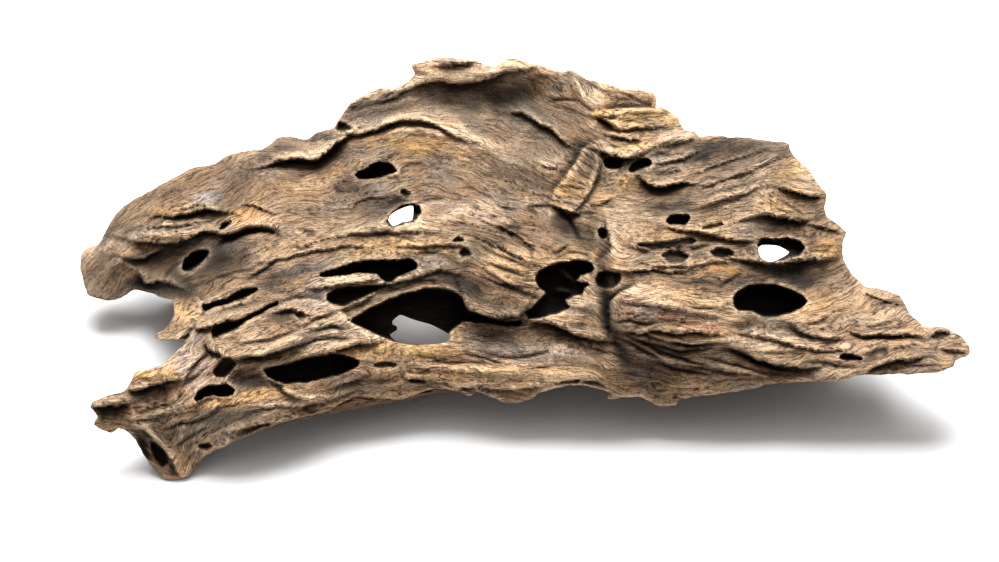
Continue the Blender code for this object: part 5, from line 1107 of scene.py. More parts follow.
def nearness(
    points: Array, line: Line | Array, reach: float, closed: bool = False, stretch: int = 16
) -> Nearness:
    """Measures the points that lie within reach of a line.

    Args:
        points: Marks on the drawing, one a row.
        line: Corners of the line.
        reach: Points further away than this are left out.
        closed: Whether the line's end runs back to its start.
        stretch: How many legs of the line are looked at together.

    Returns:
        The nearness of the points within reach; the side is above 0 right of the line's course.
    """
    corners = np.array(line, float)
    low, high = corners.min(axis=0) - reach, corners.max(axis=0) + reach
    near = np.flatnonzero(((points >= low) & (points <= high)).all(axis=1))
    chosen = points[near]
    ends = np.roll(corners, -1, axis=0) if closed else corners[1:]
    starts = corners if closed else corners[:-1]
    legs = ends - starts
    lengths = np.hypot(legs[:, 0], legs[:, 1])
    passed = np.concatenate([[0.0], np.cumsum(lengths)])
    best = np.full(len(near), np.inf)
    side, along = np.zeros(len(near)), np.zeros(len(near))
    spot = np.zeros((len(near), 2))
    for first in range(0, len(legs), stretch):
        group = slice(first, first + stretch)
        joined = np.concatenate([starts[group], ends[group]])
        low, high = joined.min(axis=0) - reach, joined.max(axis=0) + reach
        local = np.flatnonzero(((chosen >= low) & (chosen <= high)).all(axis=1))
        rows = zip(starts[group], legs[group], lengths[group], passed[group])
        for start, leg, length, before in rows:
            offset = chosen[local] - start
            share = np.clip(offset @ leg / length ** 2, 0.0, 1.0)
            gap = np.hypot(offset[:, 0] - share * leg[0], offset[:, 1] - share * leg[1])
            nearer = gap < best[local]
            index = local[nearer]
            best[index] = gap[nearer]
            turn = leg[0] * offset[nearer, 1] - leg[1] * offset[nearer, 0]
            side[index] = np.sign(turn)
            along[index] = (before + share[nearer] * length) / passed[-1]
            spot[index] = start + share[nearer, None] * leg
    found = best <= reach * NEAR_SHARE
    return Nearness(near[found], best[found], side[found], along[found], spot[found])


def inside(points: Array, line: Line | Array) -> Array:
    """Tells which points lie inside a closed line.

    Args:
        points: Marks on the drawing, one a row.
        line: Corners of the line.

    Returns:
        True for each point inside.
    """
    corners = np.array(line, float)
    result = np.zeros(len(points), bool)
    for start, end in zip(corners, np.roll(corners, -1, axis=0)):
        crosses = (start[1] > points[:, 1]) != (end[1] > points[:, 1])
        rise = end[1] - start[1] if end[1] != start[1] else TINY
        edge = start[0] + (points[:, 1] - start[1]) * (end[0] - start[0]) / rise
        result ^= crosses & (points[:, 0] < edge)
    return result


def rounded_line(line: Line, step: float, pull: float = 0.35) -> Array:
    """Runs a smooth closed curve through the corners of a line.

    Args:
        line: Corners of the line.
        step: About how far apart the curve's points are.
        pull: How strongly the neighbours of a corner bend the curve.

    Returns:
        The curve's points, one a row.
    """
    corners = np.array(line, float)
    curve = []
    for index in range(len(corners)):
        spots = (corners[(index + shift) % len(corners)] for shift in (-1, 0, 1, 2))
        before, start, end, after = spots
        pieces = max(1, round(float(np.linalg.norm(end - start)) / step))
        pull_in, pull_out = (end - before) * pull, (after - start) * pull
        for part in range(pieces):
            t = part / pieces
            curve.append(
                start * (2 * t ** 3 - 3 * t ** 2 + 1) + pull_in * (t ** 3 - 2 * t ** 2 + t)
                + end * (3 * t ** 2 - 2 * t ** 3) + pull_out * (t ** 3 - t ** 2)
            )
    return np.array(curve)


def weight_of(spot: Patch | Area, points: Array, falloff: float = 1.5) -> Array:
    """Gives a soft spot's strength at marks on the drawing.

    Args:
        spot: The spot.
        points: Marks on the drawing, one a row.
        falloff: Above 1, the spot is flatter in the middle and steeper at its edge.

    Returns:
        A strength for each mark.
    """
    angle = math.radians(spot.slant)
    offset = points - np.array(spot.mark)
    along = offset[:, 0] * math.cos(angle) - offset[:, 1] * math.sin(angle)
    across = offset[:, 0] * math.sin(angle) + offset[:, 1] * math.cos(angle)
    return spot.strength * np.exp(-((along / spot.wide) ** 2 + (across / spot.high) ** 2) ** falloff)


def falling(gap: Array, width: Array | float) -> Array:
    """Falls softly from 1 at a gap of 0 to about a third at the width."""
    return np.exp(-((gap / width) ** 2))


def fade(along: Array, ends: float = 0.02) -> Array:
    """Lets a form grow in and die out at its two ends."""
    return np.sin(np.pi * np.clip(along, ends, 1.0 - ends)) ** 0.5


def step_up(gap: Array, width: float, hair: float = 0.25) -> Array:
    """Climbs from 0 on a line to 1 at a width from it; a hair's breadth beside the line stays 0."""
    return np.clip((gap - hair) / width, 0.0, 1.0)


def mottled(colour: Array, wave: Array) -> Array:
    """Greys colours where a wave is high and warms them where it is low.

    Args:
        colour: Base colours in linear light, one a row.
        wave: A value for each colour, from about -1 to 1.

    Returns:
        The new colours.
    """
    for tone, strength, most in ((ASH, 2.0, 0.8), (TAN, -2.0, 0.6)):
        share = np.clip(wave * strength, 0.0, most)[:, None]
        colour = colour + (tone.linear() - colour) * share
    return colour


def write_attributes(
    mesh: bpy.types.Mesh, grain: Array, colour: Array, single: dict[str, Array]
) -> None:
    """Writes what the finish reads, one value for each vertex.

    Args:
        mesh: The mesh to dress.
        grain: Places across and along the grain, in millimetres, and a third number.
        colour: Base colours in linear light.
        single: Further values by name.
    """
    tint = np.concatenate([colour, np.ones((len(colour), 1))], axis=1)
    mesh.attributes.new("grain", "FLOAT_VECTOR", "POINT").data.foreach_set("vector", grain.ravel())
    mesh.attributes.new("tint", "FLOAT_COLOR", "POINT").data.foreach_set("color", tint.ravel())
    for name, values in single.items():
        mesh.attributes.new(name, "FLOAT", "POINT").data.foreach_set("value", values)


@dataclass
class Grain:
    """The way the fibres run over the drawing, combed and smoothed between the marks."""

    combs: list[tuple[float, float, float]]
    low: Mark = (60.0, 40.0)
    step: float = 4.0
    columns: int = 236
    rows: int = 114
    near_reach: float = 30.0
    near_power: float = -2.0
    sway: float = 6.5
    sway_size: Mark = (34.0, 20.0)
    _fields: dict[str, Array] = field(default_factory=dict)
    _sway: tuple[LatticeNoise, LatticeNoise] = (LatticeNoise(21), LatticeNoise(22))

    def __post_init__(self) -> None:
        """Works out how far across and along the grain every place lies."""
        u = self.low[0] + self.step * np.arange(self.columns)
        v = self.low[1] + self.step * np.arange(self.rows)
        grid_u, grid_v = np.meshgrid(u, v, indexing="ij")
        total = np.zeros((2, self.columns, self.rows))
        for place_u, place_v, degrees in self.combs:
            gap = (grid_u - place_u) ** 2 + (grid_v - place_v) ** 2
            weight = (gap + self.near_reach) ** self.near_power
            angle = math.radians(degrees)
            total += np.array((math.cos(angle), -math.sin(angle)))[:, None, None] * weight
        course = total / np.hypot(*total)
        self._fields["across"] = self._climb(-course[1], course[0])
        self._fields["along"] = self._climb(course[0], course[1])

    def _climb(self, slope_u: Array, slope_v: Array) -> Array:
        """Finds the sheet whose slopes come nearest to the wanted ones.

        Args:
            slope_u: Wanted slope across the drawing.
            slope_v: Wanted slope down the drawing.

        Returns:
            The sheet's heights on the grid.
        """
        flow_u = 0.5 * (slope_u[1:] + slope_u[:-1]) * self.step
        flow_v = 0.5 * (slope_v[:, 1:] + slope_v[:, :-1]) * self.step
        source = np.zeros((self.columns, self.rows))
        source[:-1] += flow_u
        source[1:] -= flow_u
        source[:, :-1] += flow_v
        source[:, 1:] -= flow_v
        mirrored = np.concatenate([source, source[::-1]])
        mirrored = np.concatenate([mirrored, mirrored[:, ::-1]], axis=1)
        turns_u = 2 * np.cos(np.pi * np.arange(2 * self.columns) / self.columns) - 2
        turns_v = 2 * np.cos(np.pi * np.arange(2 * self.rows) / self.rows) - 2
        scale = turns_u[:, None] + turns_v[None, :]
        scale[0, 0] = 1.0
        waves = np.fft.fft2(mirrored) / scale
        waves[0, 0] = 0.0
        return np.fft.ifft2(waves).real[:self.columns, :self.rows]

    def course(self, points: Array) -> tuple[Array, Array]:
        """Gives how far across and along the grain marks lie."""
        return self.at("across", *points.T), self.at("along", *points.T)

    def at(self, name: str, u: Array, v: Array) -> Array:
        """Reads a field between its grid points.

        Args:
            name: Either across or along.
            u: Marks across the drawing.
            v: Marks down the drawing.

        Returns:
            The distance across or along the grain, in squares of the drawing.
        """
        sheet = self._fields[name]
        stray_u, stray_v = (
            wave.layers(u / self.sway_size[0], v / self.sway_size[1], 3) * self.sway
            for wave in self._sway
        )
        u, v = u + stray_u, v + stray_v
        x = np.clip((u - self.low[0]) / self.step, 0, self.columns - 1.001)
        y = np.clip((v - self.low[1]) / self.step, 0, self.rows - 1.001)
        column, row = x.astype(int), y.astype(int)
        right, down = x - column, y - row
        top = sheet[column, row] * (1 - right) + sheet[column + 1, row] * right
        base = sheet[column, row + 1] * (1 - right) + sheet[column + 1, row + 1] * right
        return top * (1 - down) + base * down


# Squares of the drawing over which the edges of soft spots stray, and how far the rim is felt.
STRAY_SIZE = 14.0
RIM_REACH = 50.0


@dataclass
class Relief:
    """The carved upper face: heights, layers, hollows, cracks and fibres over the drawing."""

    drawing: Drawing
    grain: Grain
    edge_thickness: float = 0.008
    thickness: float = 0.024
    fibre_height: float = 0.00040
    strand_height: float = 0.0012
    lump_height: float = 0.0018
    crumb_height: float = 0.00026
    crack_depth: float = 0.0016
    groove_share: float = 1.1
    crest: float = 0.35
    step_share: float = 1.1
    reach_share: float = 1.5
    ragged: float = 1.2
    rim_wear_and_highlight: float = 0.25
    rim_wear_and_highlight_width: float = 0.0028
    least_wall: float = 0.003
    settle_width: float = 0.002
    curve_step: float = 1.6
    wander_size: float = 9.0
    wander_reach: float = 1.1
    shadow_share: float = 0.45
    hard_edge: float = 0.8
    lump_size: Mark = (20.0, 46.0)
    strand_size: Mark = (8.0, 60.0)
    fibre_size: Mark = (3.4, 26.0)
    crumb_size: float = 5.0
    split_size: Mark = (8.0, 52.0)
    split_width: float = 0.10
    open_size: Mark = (60.0, 40.0)

    def __post_init__(self) -> None:
        """Prepares the smooth form and the random waves."""
        self.form = spline_through(SPOT_HEIGHTS)
        self.waves = [LatticeNoise(seed) for seed in range(8)]
        smooth = rounded_line(OUTLINE, self.curve_step)
        self.rim = smooth + self.wander(smooth) * self.ragged

    def wander(self, points: Array) -> Array:
        """Makes drawn lines slightly ragged: gives how far each point is pushed aside."""
        u, v = points.T / self.wander_size
        pushes = [wave.layers(u, v, 3) for wave in self.waves[:2]]
        return np.stack(pushes, axis=-1) * self.wander_reach

    def stray(self, points: Array) -> Array:
        """Gives how far the edges of soft spots stray, one pair a point, from -1 to 1."""
        u, v = points.T / STRAY_SIZE
        return np.stack([wave.layers(u, v, 3) for wave in self.waves[6:8]], axis=-1)

    def carving(self, points: Array) -> tuple[Array, Array, Array]:
        """Adds up what ledges, ridges, swellings and hollows do to the face.

        Args:
            points: Marks on the drawing.

        Returns:
            The change in metres, the painted shade, and the wear with painted highlight, each from 0 to 1.
        """
        points = points + self.wander(points)
        change, painted_shade, worn_and_highlight, deepest = np.zeros((4, len(points)))
        for ledge in LEDGES:
            self._step(ledge, points, change, painted_shade, worn_and_highlight)
        for ridge in RIDGES:
            near = nearness(points, ridge.line, ridge.width * 3)
            form = falling(near.gap, ridge.width) * fade(near.along)
            share = self.groove_share if ridge.height < 0.0 else 1.0
            change[near.near] += ridge.height * MM * form * share
            # Creases are painted in shade.
            if ridge.height < 0.0:
                depth = np.clip(-ridge.height / ridge.width, 0.0, 1.0) * form
                depth *= np.clip(ridge.width / 2.0, 0.6, 1.0)
                painted_shade[near.near] = np.maximum(painted_shade[near.near], depth)
        for swelling in SWELLINGS:
            gap = ((points[:, 0] - swelling.mark[0]) / swelling.wide) ** 2
            gap += ((points[:, 1] - swelling.mark[1]) / swelling.high) ** 2
            change += swelling.height * MM * np.exp(-gap)
        for hollow in HOLLOWS:
            near = nearness(points, hollow.line, 8.0, closed=True)
            # Each hollow's rim is painted pale: wear and painted highlight.
            worn_and_highlight[near.near] = np.maximum(worn_and_highlight[near.near], 0.7 * falling(near.gap, 3.5))
            held = np.flatnonzero(inside(points, hollow.line))
            near = nearness(points[held], hollow.line, 60.0, closed=True)
            slope = step_up(near.gap, 0.6 * hollow.edge)
            bowl = np.sqrt(slope * (2.0 - slope))
            held = held[near.near]
            deepest[held] = np.maximum(deepest[held], bowl * hollow.depth * MM)
            # Each hollow's inside is painted in shade.
            painted_shade[held] = np.maximum(painted_shade[held], bowl * np.clip(hollow.depth / 9.0, 0.35, 1.0))
        return change - deepest, painted_shade, worn_and_highlight

    def _step(
        self, ledge: Ledge, points: Array, change: Array, painted_shade: Array, worn_and_highlight: Array
    ) -> None:
        """Adds a ledge to the carving: lip, foot, painted shade below, pale wear and painted highlight
        above.

        Args:
            ledge: The ledge.
            points: Marks on the drawing.
            change: Change in metres so far.
            painted_shade: Painted shade so far.
            worn_and_highlight: Wear and painted highlight so far.
        """
        reach = ledge.reach * self.reach_share
        near = nearness(points, ledge.line, reach * 3)
        here, share, lower = near.near, fade(near.along), near.side > 0
        under = np.exp(-near.gap / reach) * step_up(near.gap, self.hard_edge)
        lip = self.crest * np.exp(-((near.gap / reach) ** 2) * 2.0)
        drop = ledge.drop * self.step_share * MM
        change[here] += np.where(lower, -under, lip) * share * drop
        # Painted shade on the lower layer just below the line.
        depth = np.clip(ledge.drop / 8.0, 0.35, 1.0) * np.exp(-near.gap / (self.shadow_share * reach))
        depth *= share * step_up(near.gap, self.hard_edge)
        painted_shade[here] = np.maximum(painted_shade[here], np.where(lower, depth, 0.0))
        # A pale edge along the line: wear and painted highlight.
        width = np.where(lower, self.hard_edge, 2.5 + 0.5 * ledge.drop)
        pale = falling(near.gap, width) * share * min(1.0, ledge.drop / 4.0)
        worn_and_highlight[here] = np.maximum(worn_and_highlight[here], pale)

    def texture(self, points: Array) -> Array:
        """Tells crumbly places, up to 1, from places worn smooth, down to -1.

        Args:
            points: Marks on the drawing, one a row.

        Returns:
            A value for each mark.
        """
        spots = points + self.stray(points) * 5.0
        crumbly, smooth = np.zeros((2, len(points)))
        for patch in CRUMBLY:
            crumbly = np.maximum(crumbly, weight_of(patch, spots))
        for patch in SMOOTH:
            smooth = np.maximum(smooth, weight_of(patch, spots))
        return np.clip(crumbly - smooth, -1.0, 1.0)

    def fibres(self, points: Array) -> tuple[Array, Array]:
        """Gives the fine relief of strands, fibres, crumbs and drying cracks.

        Args:
            points: Marks on the drawing.

        Returns:
            The relief in metres, and how far each place lies in a crack, from 0 to 1.
        """
        u, v = points.T
        texture = self.texture(points)
        across, along = self.grain.course(points)

        def waves(number: int, size: Mark, count: int, shift: float = 0.0) -> Array:
            """Gives waves that run along the grain."""
            return self.waves[number].layers(across / size[0] + shift, along / size[1], count)

        lump, strand = waves(7, self.lump_size, 2, 40.0), waves(2, self.strand_size, 2)
        fibre, split = waves(3, self.fibre_size, 1), np.abs(waves(5, self.split_size, 2))
        crumb = self.waves[4].layers(u / self.crumb_size, v / self.crumb_size, 3)
        parting = self.waves[6].layers(u / self.open_size[0], v / self.open_size[1], 2)
        open_here = np.clip(parting * 2.0 + 0.4, 0.0, 1.0)
        crack = np.clip(1.0 - split / self.split_width, 0.0, 1.0) ** 1.5 * open_here
        crack *= 1.0 - np.abs(texture)
        combed = 1.0 - 0.75 * np.abs(texture)
        rough = 1.0 + 2.4 * np.maximum(texture, 0.0) + 0.7 * np.minimum(texture, 0.0)
        relief = (strand * self.strand_height + fibre * self.fibre_height) * combed
        relief += lump * self.lump_height + crumb * self.crumb_height * rough
        return relief - crack * self.crack_depth, crack

    def wall(self, points: Array) -> Array:
        """Gives the wall's thickness along the line of sight, in metres."""
        wall = np.full(len(points), self.thickness)
        for u, v, reach, extra in THICK_PLACES:
            gap = (points[:, 0] - u) ** 2 + (points[:, 1] - v) ** 2
            wall += extra * MM * np.exp(-gap / reach ** 2)
        return wall

    def flutes(self, points: Array) -> Array:
        """Gives the shallow flutes of the hollow underside, in metres."""
        u, v = points.T
        flute = np.sin(0.055 * v + 0.9 * np.sin(0.011 * u) + 1.3 * np.sin(0.021 * v + 0.006 * u))
        lump = np.sin(0.033 * u + 1.1) * np.sin(0.041 * v - 0.012 * u)
        return (2.2 * flute + 1.8 * lump) * MM

    def skins(self, points: Array) -> tuple[Array, Array, Array, Array]:
        """Gives both skins' depths, and the upper one's painted shade and its wear with painted highlight.

        Args:
            points: Marks on the drawing.

        Returns:
            Upper depth, lower depth, painted shade, and wear with painted highlight.
        """
        u, v = points.T
        middle = self.drawing.depth_at_height(u, v, self.form(u, v) * MM)
        gap = np.full(len(points), 1.0)
        near = nearness(points, self.rim, RIM_REACH, closed=True)
        gap[near.near] = near.gap * self.drawing.unit
        round_edge = np.clip(gap / self.edge_thickness, 0.0, 1.0)
        bulge = np.sqrt(round_edge * (2.0 - round_edge))
        blend = np.clip(gap / (2.0 * self.edge_thickness), 0.0, 1.0) ** 0.7
        wall = self.edge_thickness + (self.wall(points) - self.edge_thickness) * blend
        change, painted_shade, worn_and_highlight = self.carving(points)
        fine, crack = self.fibres(points)
        fine = fine * (1.0 - 0.6 * painted_shade)
        # Cracks are painted in shade.
        painted_shade = np.maximum(painted_shade, 0.55 * crack)
        # The outline's edge is painted pale: wear and painted highlight.
        worn_and_highlight = np.maximum(worn_and_highlight, self.rim_wear_and_highlight * falling(gap, self.rim_wear_and_highlight_width))
        settle = np.clip(gap / self.settle_width, 0.0, 1.0)
        upper = middle + bulge * (0.5 * self.edge_thickness) + (change + fine) * settle
        lower = middle + (0.5 * self.edge_thickness - wall) * bulge + self.flutes(points) * blend
        lower = np.minimum(lower, upper - self.least_wall * bulge)
        ground = self.drawing.depth_at_height(u, v, 0.0)
        return np.maximum(upper, ground), np.maximum(lower, ground), painted_shade, worn_and_highlight


@dataclass
class Shell:
    """The bent shell of wood: its carved face, its underside and the walls of its openings."""

    relief: Relief
    cell: float = 3.5
    margin: float = 8.0
    opening_step: float = 1.2
    edge_reach: float = 12.0
    snap_reach: float = 0.34
    snap_rounds: int = 4
    relax_rounds: int = 3
    # How much painted shade the whole underside gets.
    under_painted_shade: float = 0.3
    mesh_name: str = "driftwood_shell"

    def build(self) -> bpy.types.Object:
        """Builds the closed shell.

        Returns:
            The finished object, at the origin.
        """
        work = bmesh.new()
        self._lay_grid(work)
        self._cut_to_outline(work)
        self._fit_edges(work, [Side.FACE])
        self._relax(work)
        self._add_underside(work)
        face = Side.FACE.value
        upper = [e for e in work.edges if any(f.material_index == face for f in e.link_faces)]
        bmesh.ops.subdivide_edges(work, edges=upper, cuts=1, use_grid_fill=True)
        self._fit_edges(work, [Side.FACE, Side.UNDERSIDE])
        self._snap_to_lines(work)
        points = self._points(work)
        upper_depth, lower_depth, painted_shade, worn_and_highlight = self.relief.skins(points)
        self._raise(work, points, upper_depth, lower_depth)
        face_outward(work)
        return self._finish(work, points, painted_shade, worn_and_highlight)

    def _lay_grid(self, work: bmesh.types.BMesh) -> None:
        """Lays a plain grid over the whole outline.

        Args:
            work: Takes the grid.
        """
        low = self.relief.rim.min(axis=0) - self.margin
        high = self.relief.rim.max(axis=0) + self.margin
        counts = np.ceil((high - low) / self.cell).astype(int)
        bmesh.ops.create_grid(work, x_segments=int(counts[0]), y_segments=int(counts[1]), size=0.5)
        found = np.array([vertex.co[:2] for vertex in work.verts])
        start, end = found.min(axis=0), found.max(axis=0)
        scale = (high - low) / (end - start)
        bmesh.ops.translate(work, verts=work.verts, vec=(-start[0], -start[1], 0.0))
        bmesh.ops.scale(work, verts=work.verts, vec=(scale[0], scale[1], 1.0))
        bmesh.ops.translate(work, verts=work.verts, vec=(low[0], low[1], 0.0))

    def _cut_to_outline(self, work: bmesh.types.BMesh) -> None:
        """Takes away the faces outside the outline, in the openings, and any that hang by a corner.

        Args:
            work: The grid.
        """
        faces = list(work.faces)
        middles = np.array([face.calc_center_median()[:2] for face in faces])
        keep = inside(middles, self.relief.rim)
        for opening in OPENINGS:
            keep &= ~inside(middles, rounded_line(opening, self.relief.curve_step))
        waste = [face for face, kept in zip(faces, keep) if not kept]
        while waste:
            bmesh.ops.delete(work, geom=waste, context="FACES")
            waste = [face for face in work.faces if sum(edge.is_boundary for edge in face.edges) > 2]
            if not waste:
                corners = [v for v in work.verts if sum(edge.is_boundary for edge in v.link_edges) > 2]
                waste = list({corner.link_faces[0] for corner in corners})

    def _points(self, work: bmesh.types.BMesh) -> Array:
        """Gives every vertex's mark on the drawing."""
        return np.array([vertex.co[:2] for vertex in work.verts])

    def _fit_edges(self, work: bmesh.types.BMesh, sides: list[Side]) -> None:
        """Draws the sheet's edges onto the outline and the openings.

        Args:
            work: The flat sheet, alone or with its underside.
            sides: The skins that the sheet has so far.
        """
        curves = [rounded_line(opening, self.opening_step) for opening in OPENINGS]
        edges = []
        for vertex in work.verts:
            kinds = {face.material_index for face in vertex.link_faces}
            on_edge = len(kinds) > 1 if len(sides) > 1 else vertex.is_boundary
            if on_edge:
                edges.append(vertex)
        points = np.array([vertex.co[:2] for vertex in edges])
        best = np.full(len(points), np.inf)
        spots = points.copy()
        for curve in [self.relief.rim] + curves:
            near = nearness(points, curve, self.edge_reach, closed=True)
            better = near.gap < best[near.near]
            chosen = near.near[better]
            best[chosen] = near.gap[better]
            spots[chosen] = near.spot[better]
        for vertex, spot in zip(edges, spots):
            vertex.co.x, vertex.co.y = spot

    def _relax(self, work: bmesh.types.BMesh) -> None:
        """Evens out the cells near the edges.

        Args:
            work: The flat sheet.
        """
        fixed = {vertex for vertex in work.verts if vertex.is_boundary}
        ring = set(fixed)
        for _ in range(self.relax_rounds):
            ring |= {edge.other_vert(vertex) for vertex in ring for edge in vertex.link_edges}
        loose = list(ring - fixed)
        for _ in range(self.relax_rounds):
            bmesh.ops.smooth_vert(work, verts=loose, factor=0.5, use_axis_x=True, use_axis_y=True)

    def _add_underside(self, work: bmesh.types.BMesh) -> None:
        """Copies the sheet as the underside, joined at the rim and through the openings.

        Args:
            work: The flat sheet.
        """
        for face in work.faces:
            face.material_index = Side.FACE.value
        parts = list(work.verts) + list(work.edges) + list(work.faces)
        copy = bmesh.ops.duplicate(work, geom=parts)["geom"]
        under = [part for part in copy if isinstance(part, bmesh.types.BMFace)]
        bmesh.ops.reverse_faces(work, faces=under)
        lower = {vertex for face in under for vertex in face.verts}
        for face in under:
            face.material_index = Side.UNDERSIDE.value
        for vertex in lower:
            vertex.co.z = -1.0
        rings = self._opening_rings(work, lower)
        for upper_ring, lower_ring in rings:
            made = bmesh.ops.bridge_loops(work, edges=upper_ring + lower_ring)["faces"]
            for face in made:
                face.material_index = Side.WALL.value
        rim = [vertex for vertex in work.verts if vertex.is_boundary]
        for vertex in rim:
            vertex.co.z = 0.0
        bmesh.ops.remove_doubles(work, verts=rim, dist=0.001)

    def _opening_rings(
        self, work: bmesh.types.BMesh, lower: set[bmesh.types.BMVert]
    ) -> list[tuple[list[bmesh.types.BMEdge], list[bmesh.types.BMEdge]]]:
        """Finds the edges round each opening in both skins.

        Args:
            work: The two flat skins.
            lower: Vertices of the underside.

        Returns:
            For each opening, its edges in the face and in the underside.
        """
        edges = [edge for edge in work.edges if edge.is_boundary]
        middles = np.array([((edge.verts[0].co + edge.verts[1].co) / 2)[:2] for edge in edges])
        rings = []
        for opening in OPENINGS:
            curve = rounded_line(opening, self.opening_step)
            near = nearness(middles, curve, 3.0, closed=True)
            found = [edges[index] for index, gap in zip(near.near, near.gap) if gap < 2.0]
            upper_ring = [edge for edge in found if edge.verts[0] not in lower]
            lower_ring = [edge for edge in found if edge.verts[0] in lower]
            rings.append((upper_ring, lower_ring))
        return rings

    def _snap_to_lines(self, work: bmesh.types.BMesh) -> None:
        """Draws the nearest vertices onto ledges and hollow edges, so that those stay crisp.

        Args:
            work: The two flat skins.
        """
        face = Side.FACE.value
        free = [v for v in work.verts if all(f.material_index == face for f in v.link_faces)]
        points = np.array([vertex.co[:2] for vertex in free])
        push = self.relief.wander(points)
        taken = np.zeros(len(points), bool)
        lines = [(ledge.line, False) for ledge in LEDGES]
        for line, closed in lines + [(hollow.line, True) for hollow in HOLLOWS]:
            near = nearness(points + push, line, 1.2, closed)
            open_end = (near.along > 0.0) & (near.along < 1.0)
            close = near.gap < self.snap_reach * self.cell
            chosen = close & open_end & ~taken[near.near]
            index = near.near[chosen]
            for _ in range(self.snap_rounds):
                points[index] = near.spot[chosen] - self.relief.wander(points[index])
            taken[index] = True
        on_line = [vertex for vertex, snapped in zip(free, taken) if snapped]
        for vertex, point in zip(free, points):
            vertex.co.x, vertex.co.y = point
        bmesh.ops.connect_verts(work, verts=on_line, check_degenerate=True)

    def _raise(self, work: bmesh.types.BMesh, points: Array, upper: Array, lower: Array) -> None:
        """Carries every mark along its line of sight to its depth.

        Args:
            work: The flat skins.
            points: Mark of each vertex.
            upper: Depth of the face.
            lower: Depth of the underside.
        """
        below = np.array([vertex.co.z < -0.5 for vertex in work.verts])
        depth = np.where(below, lower, upper)
        places = self.relief.drawing.place(points[:, 0], points[:, 1], depth)
        for vertex, place in zip(work.verts, places):
            vertex.co = place

    def _finish(
        self, work: bmesh.types.BMesh, points: Array, painted_shade: Array, worn_and_highlight: Array
    ) -> bpy.types.Object:
        """Makes the object and writes what its material reads.

        Args:
            work: The finished shape.
            points: Mark of each vertex.
            painted_shade: Painted shade of each vertex.
            worn_and_highlight: Wear and painted highlight of each vertex.

        Returns:
            The object.
        """
        below = np.array([all(f.material_index for f in vertex.link_faces) for vertex in work.verts])
        mesh = bpy.data.meshes.new(self.mesh_name)
        work.to_mesh(mesh)
        work.free()
        mesh.shade_smooth()
        # The whole underside is painted in shade.
        painted_shade = np.where(below, self.under_painted_shade, painted_shade)
        Painter(self.relief).paint(mesh, points, painted_shade, np.where(below, 0.0, worn_and_highlight), below)
        return bpy.data.objects.new(self.mesh_name, mesh)


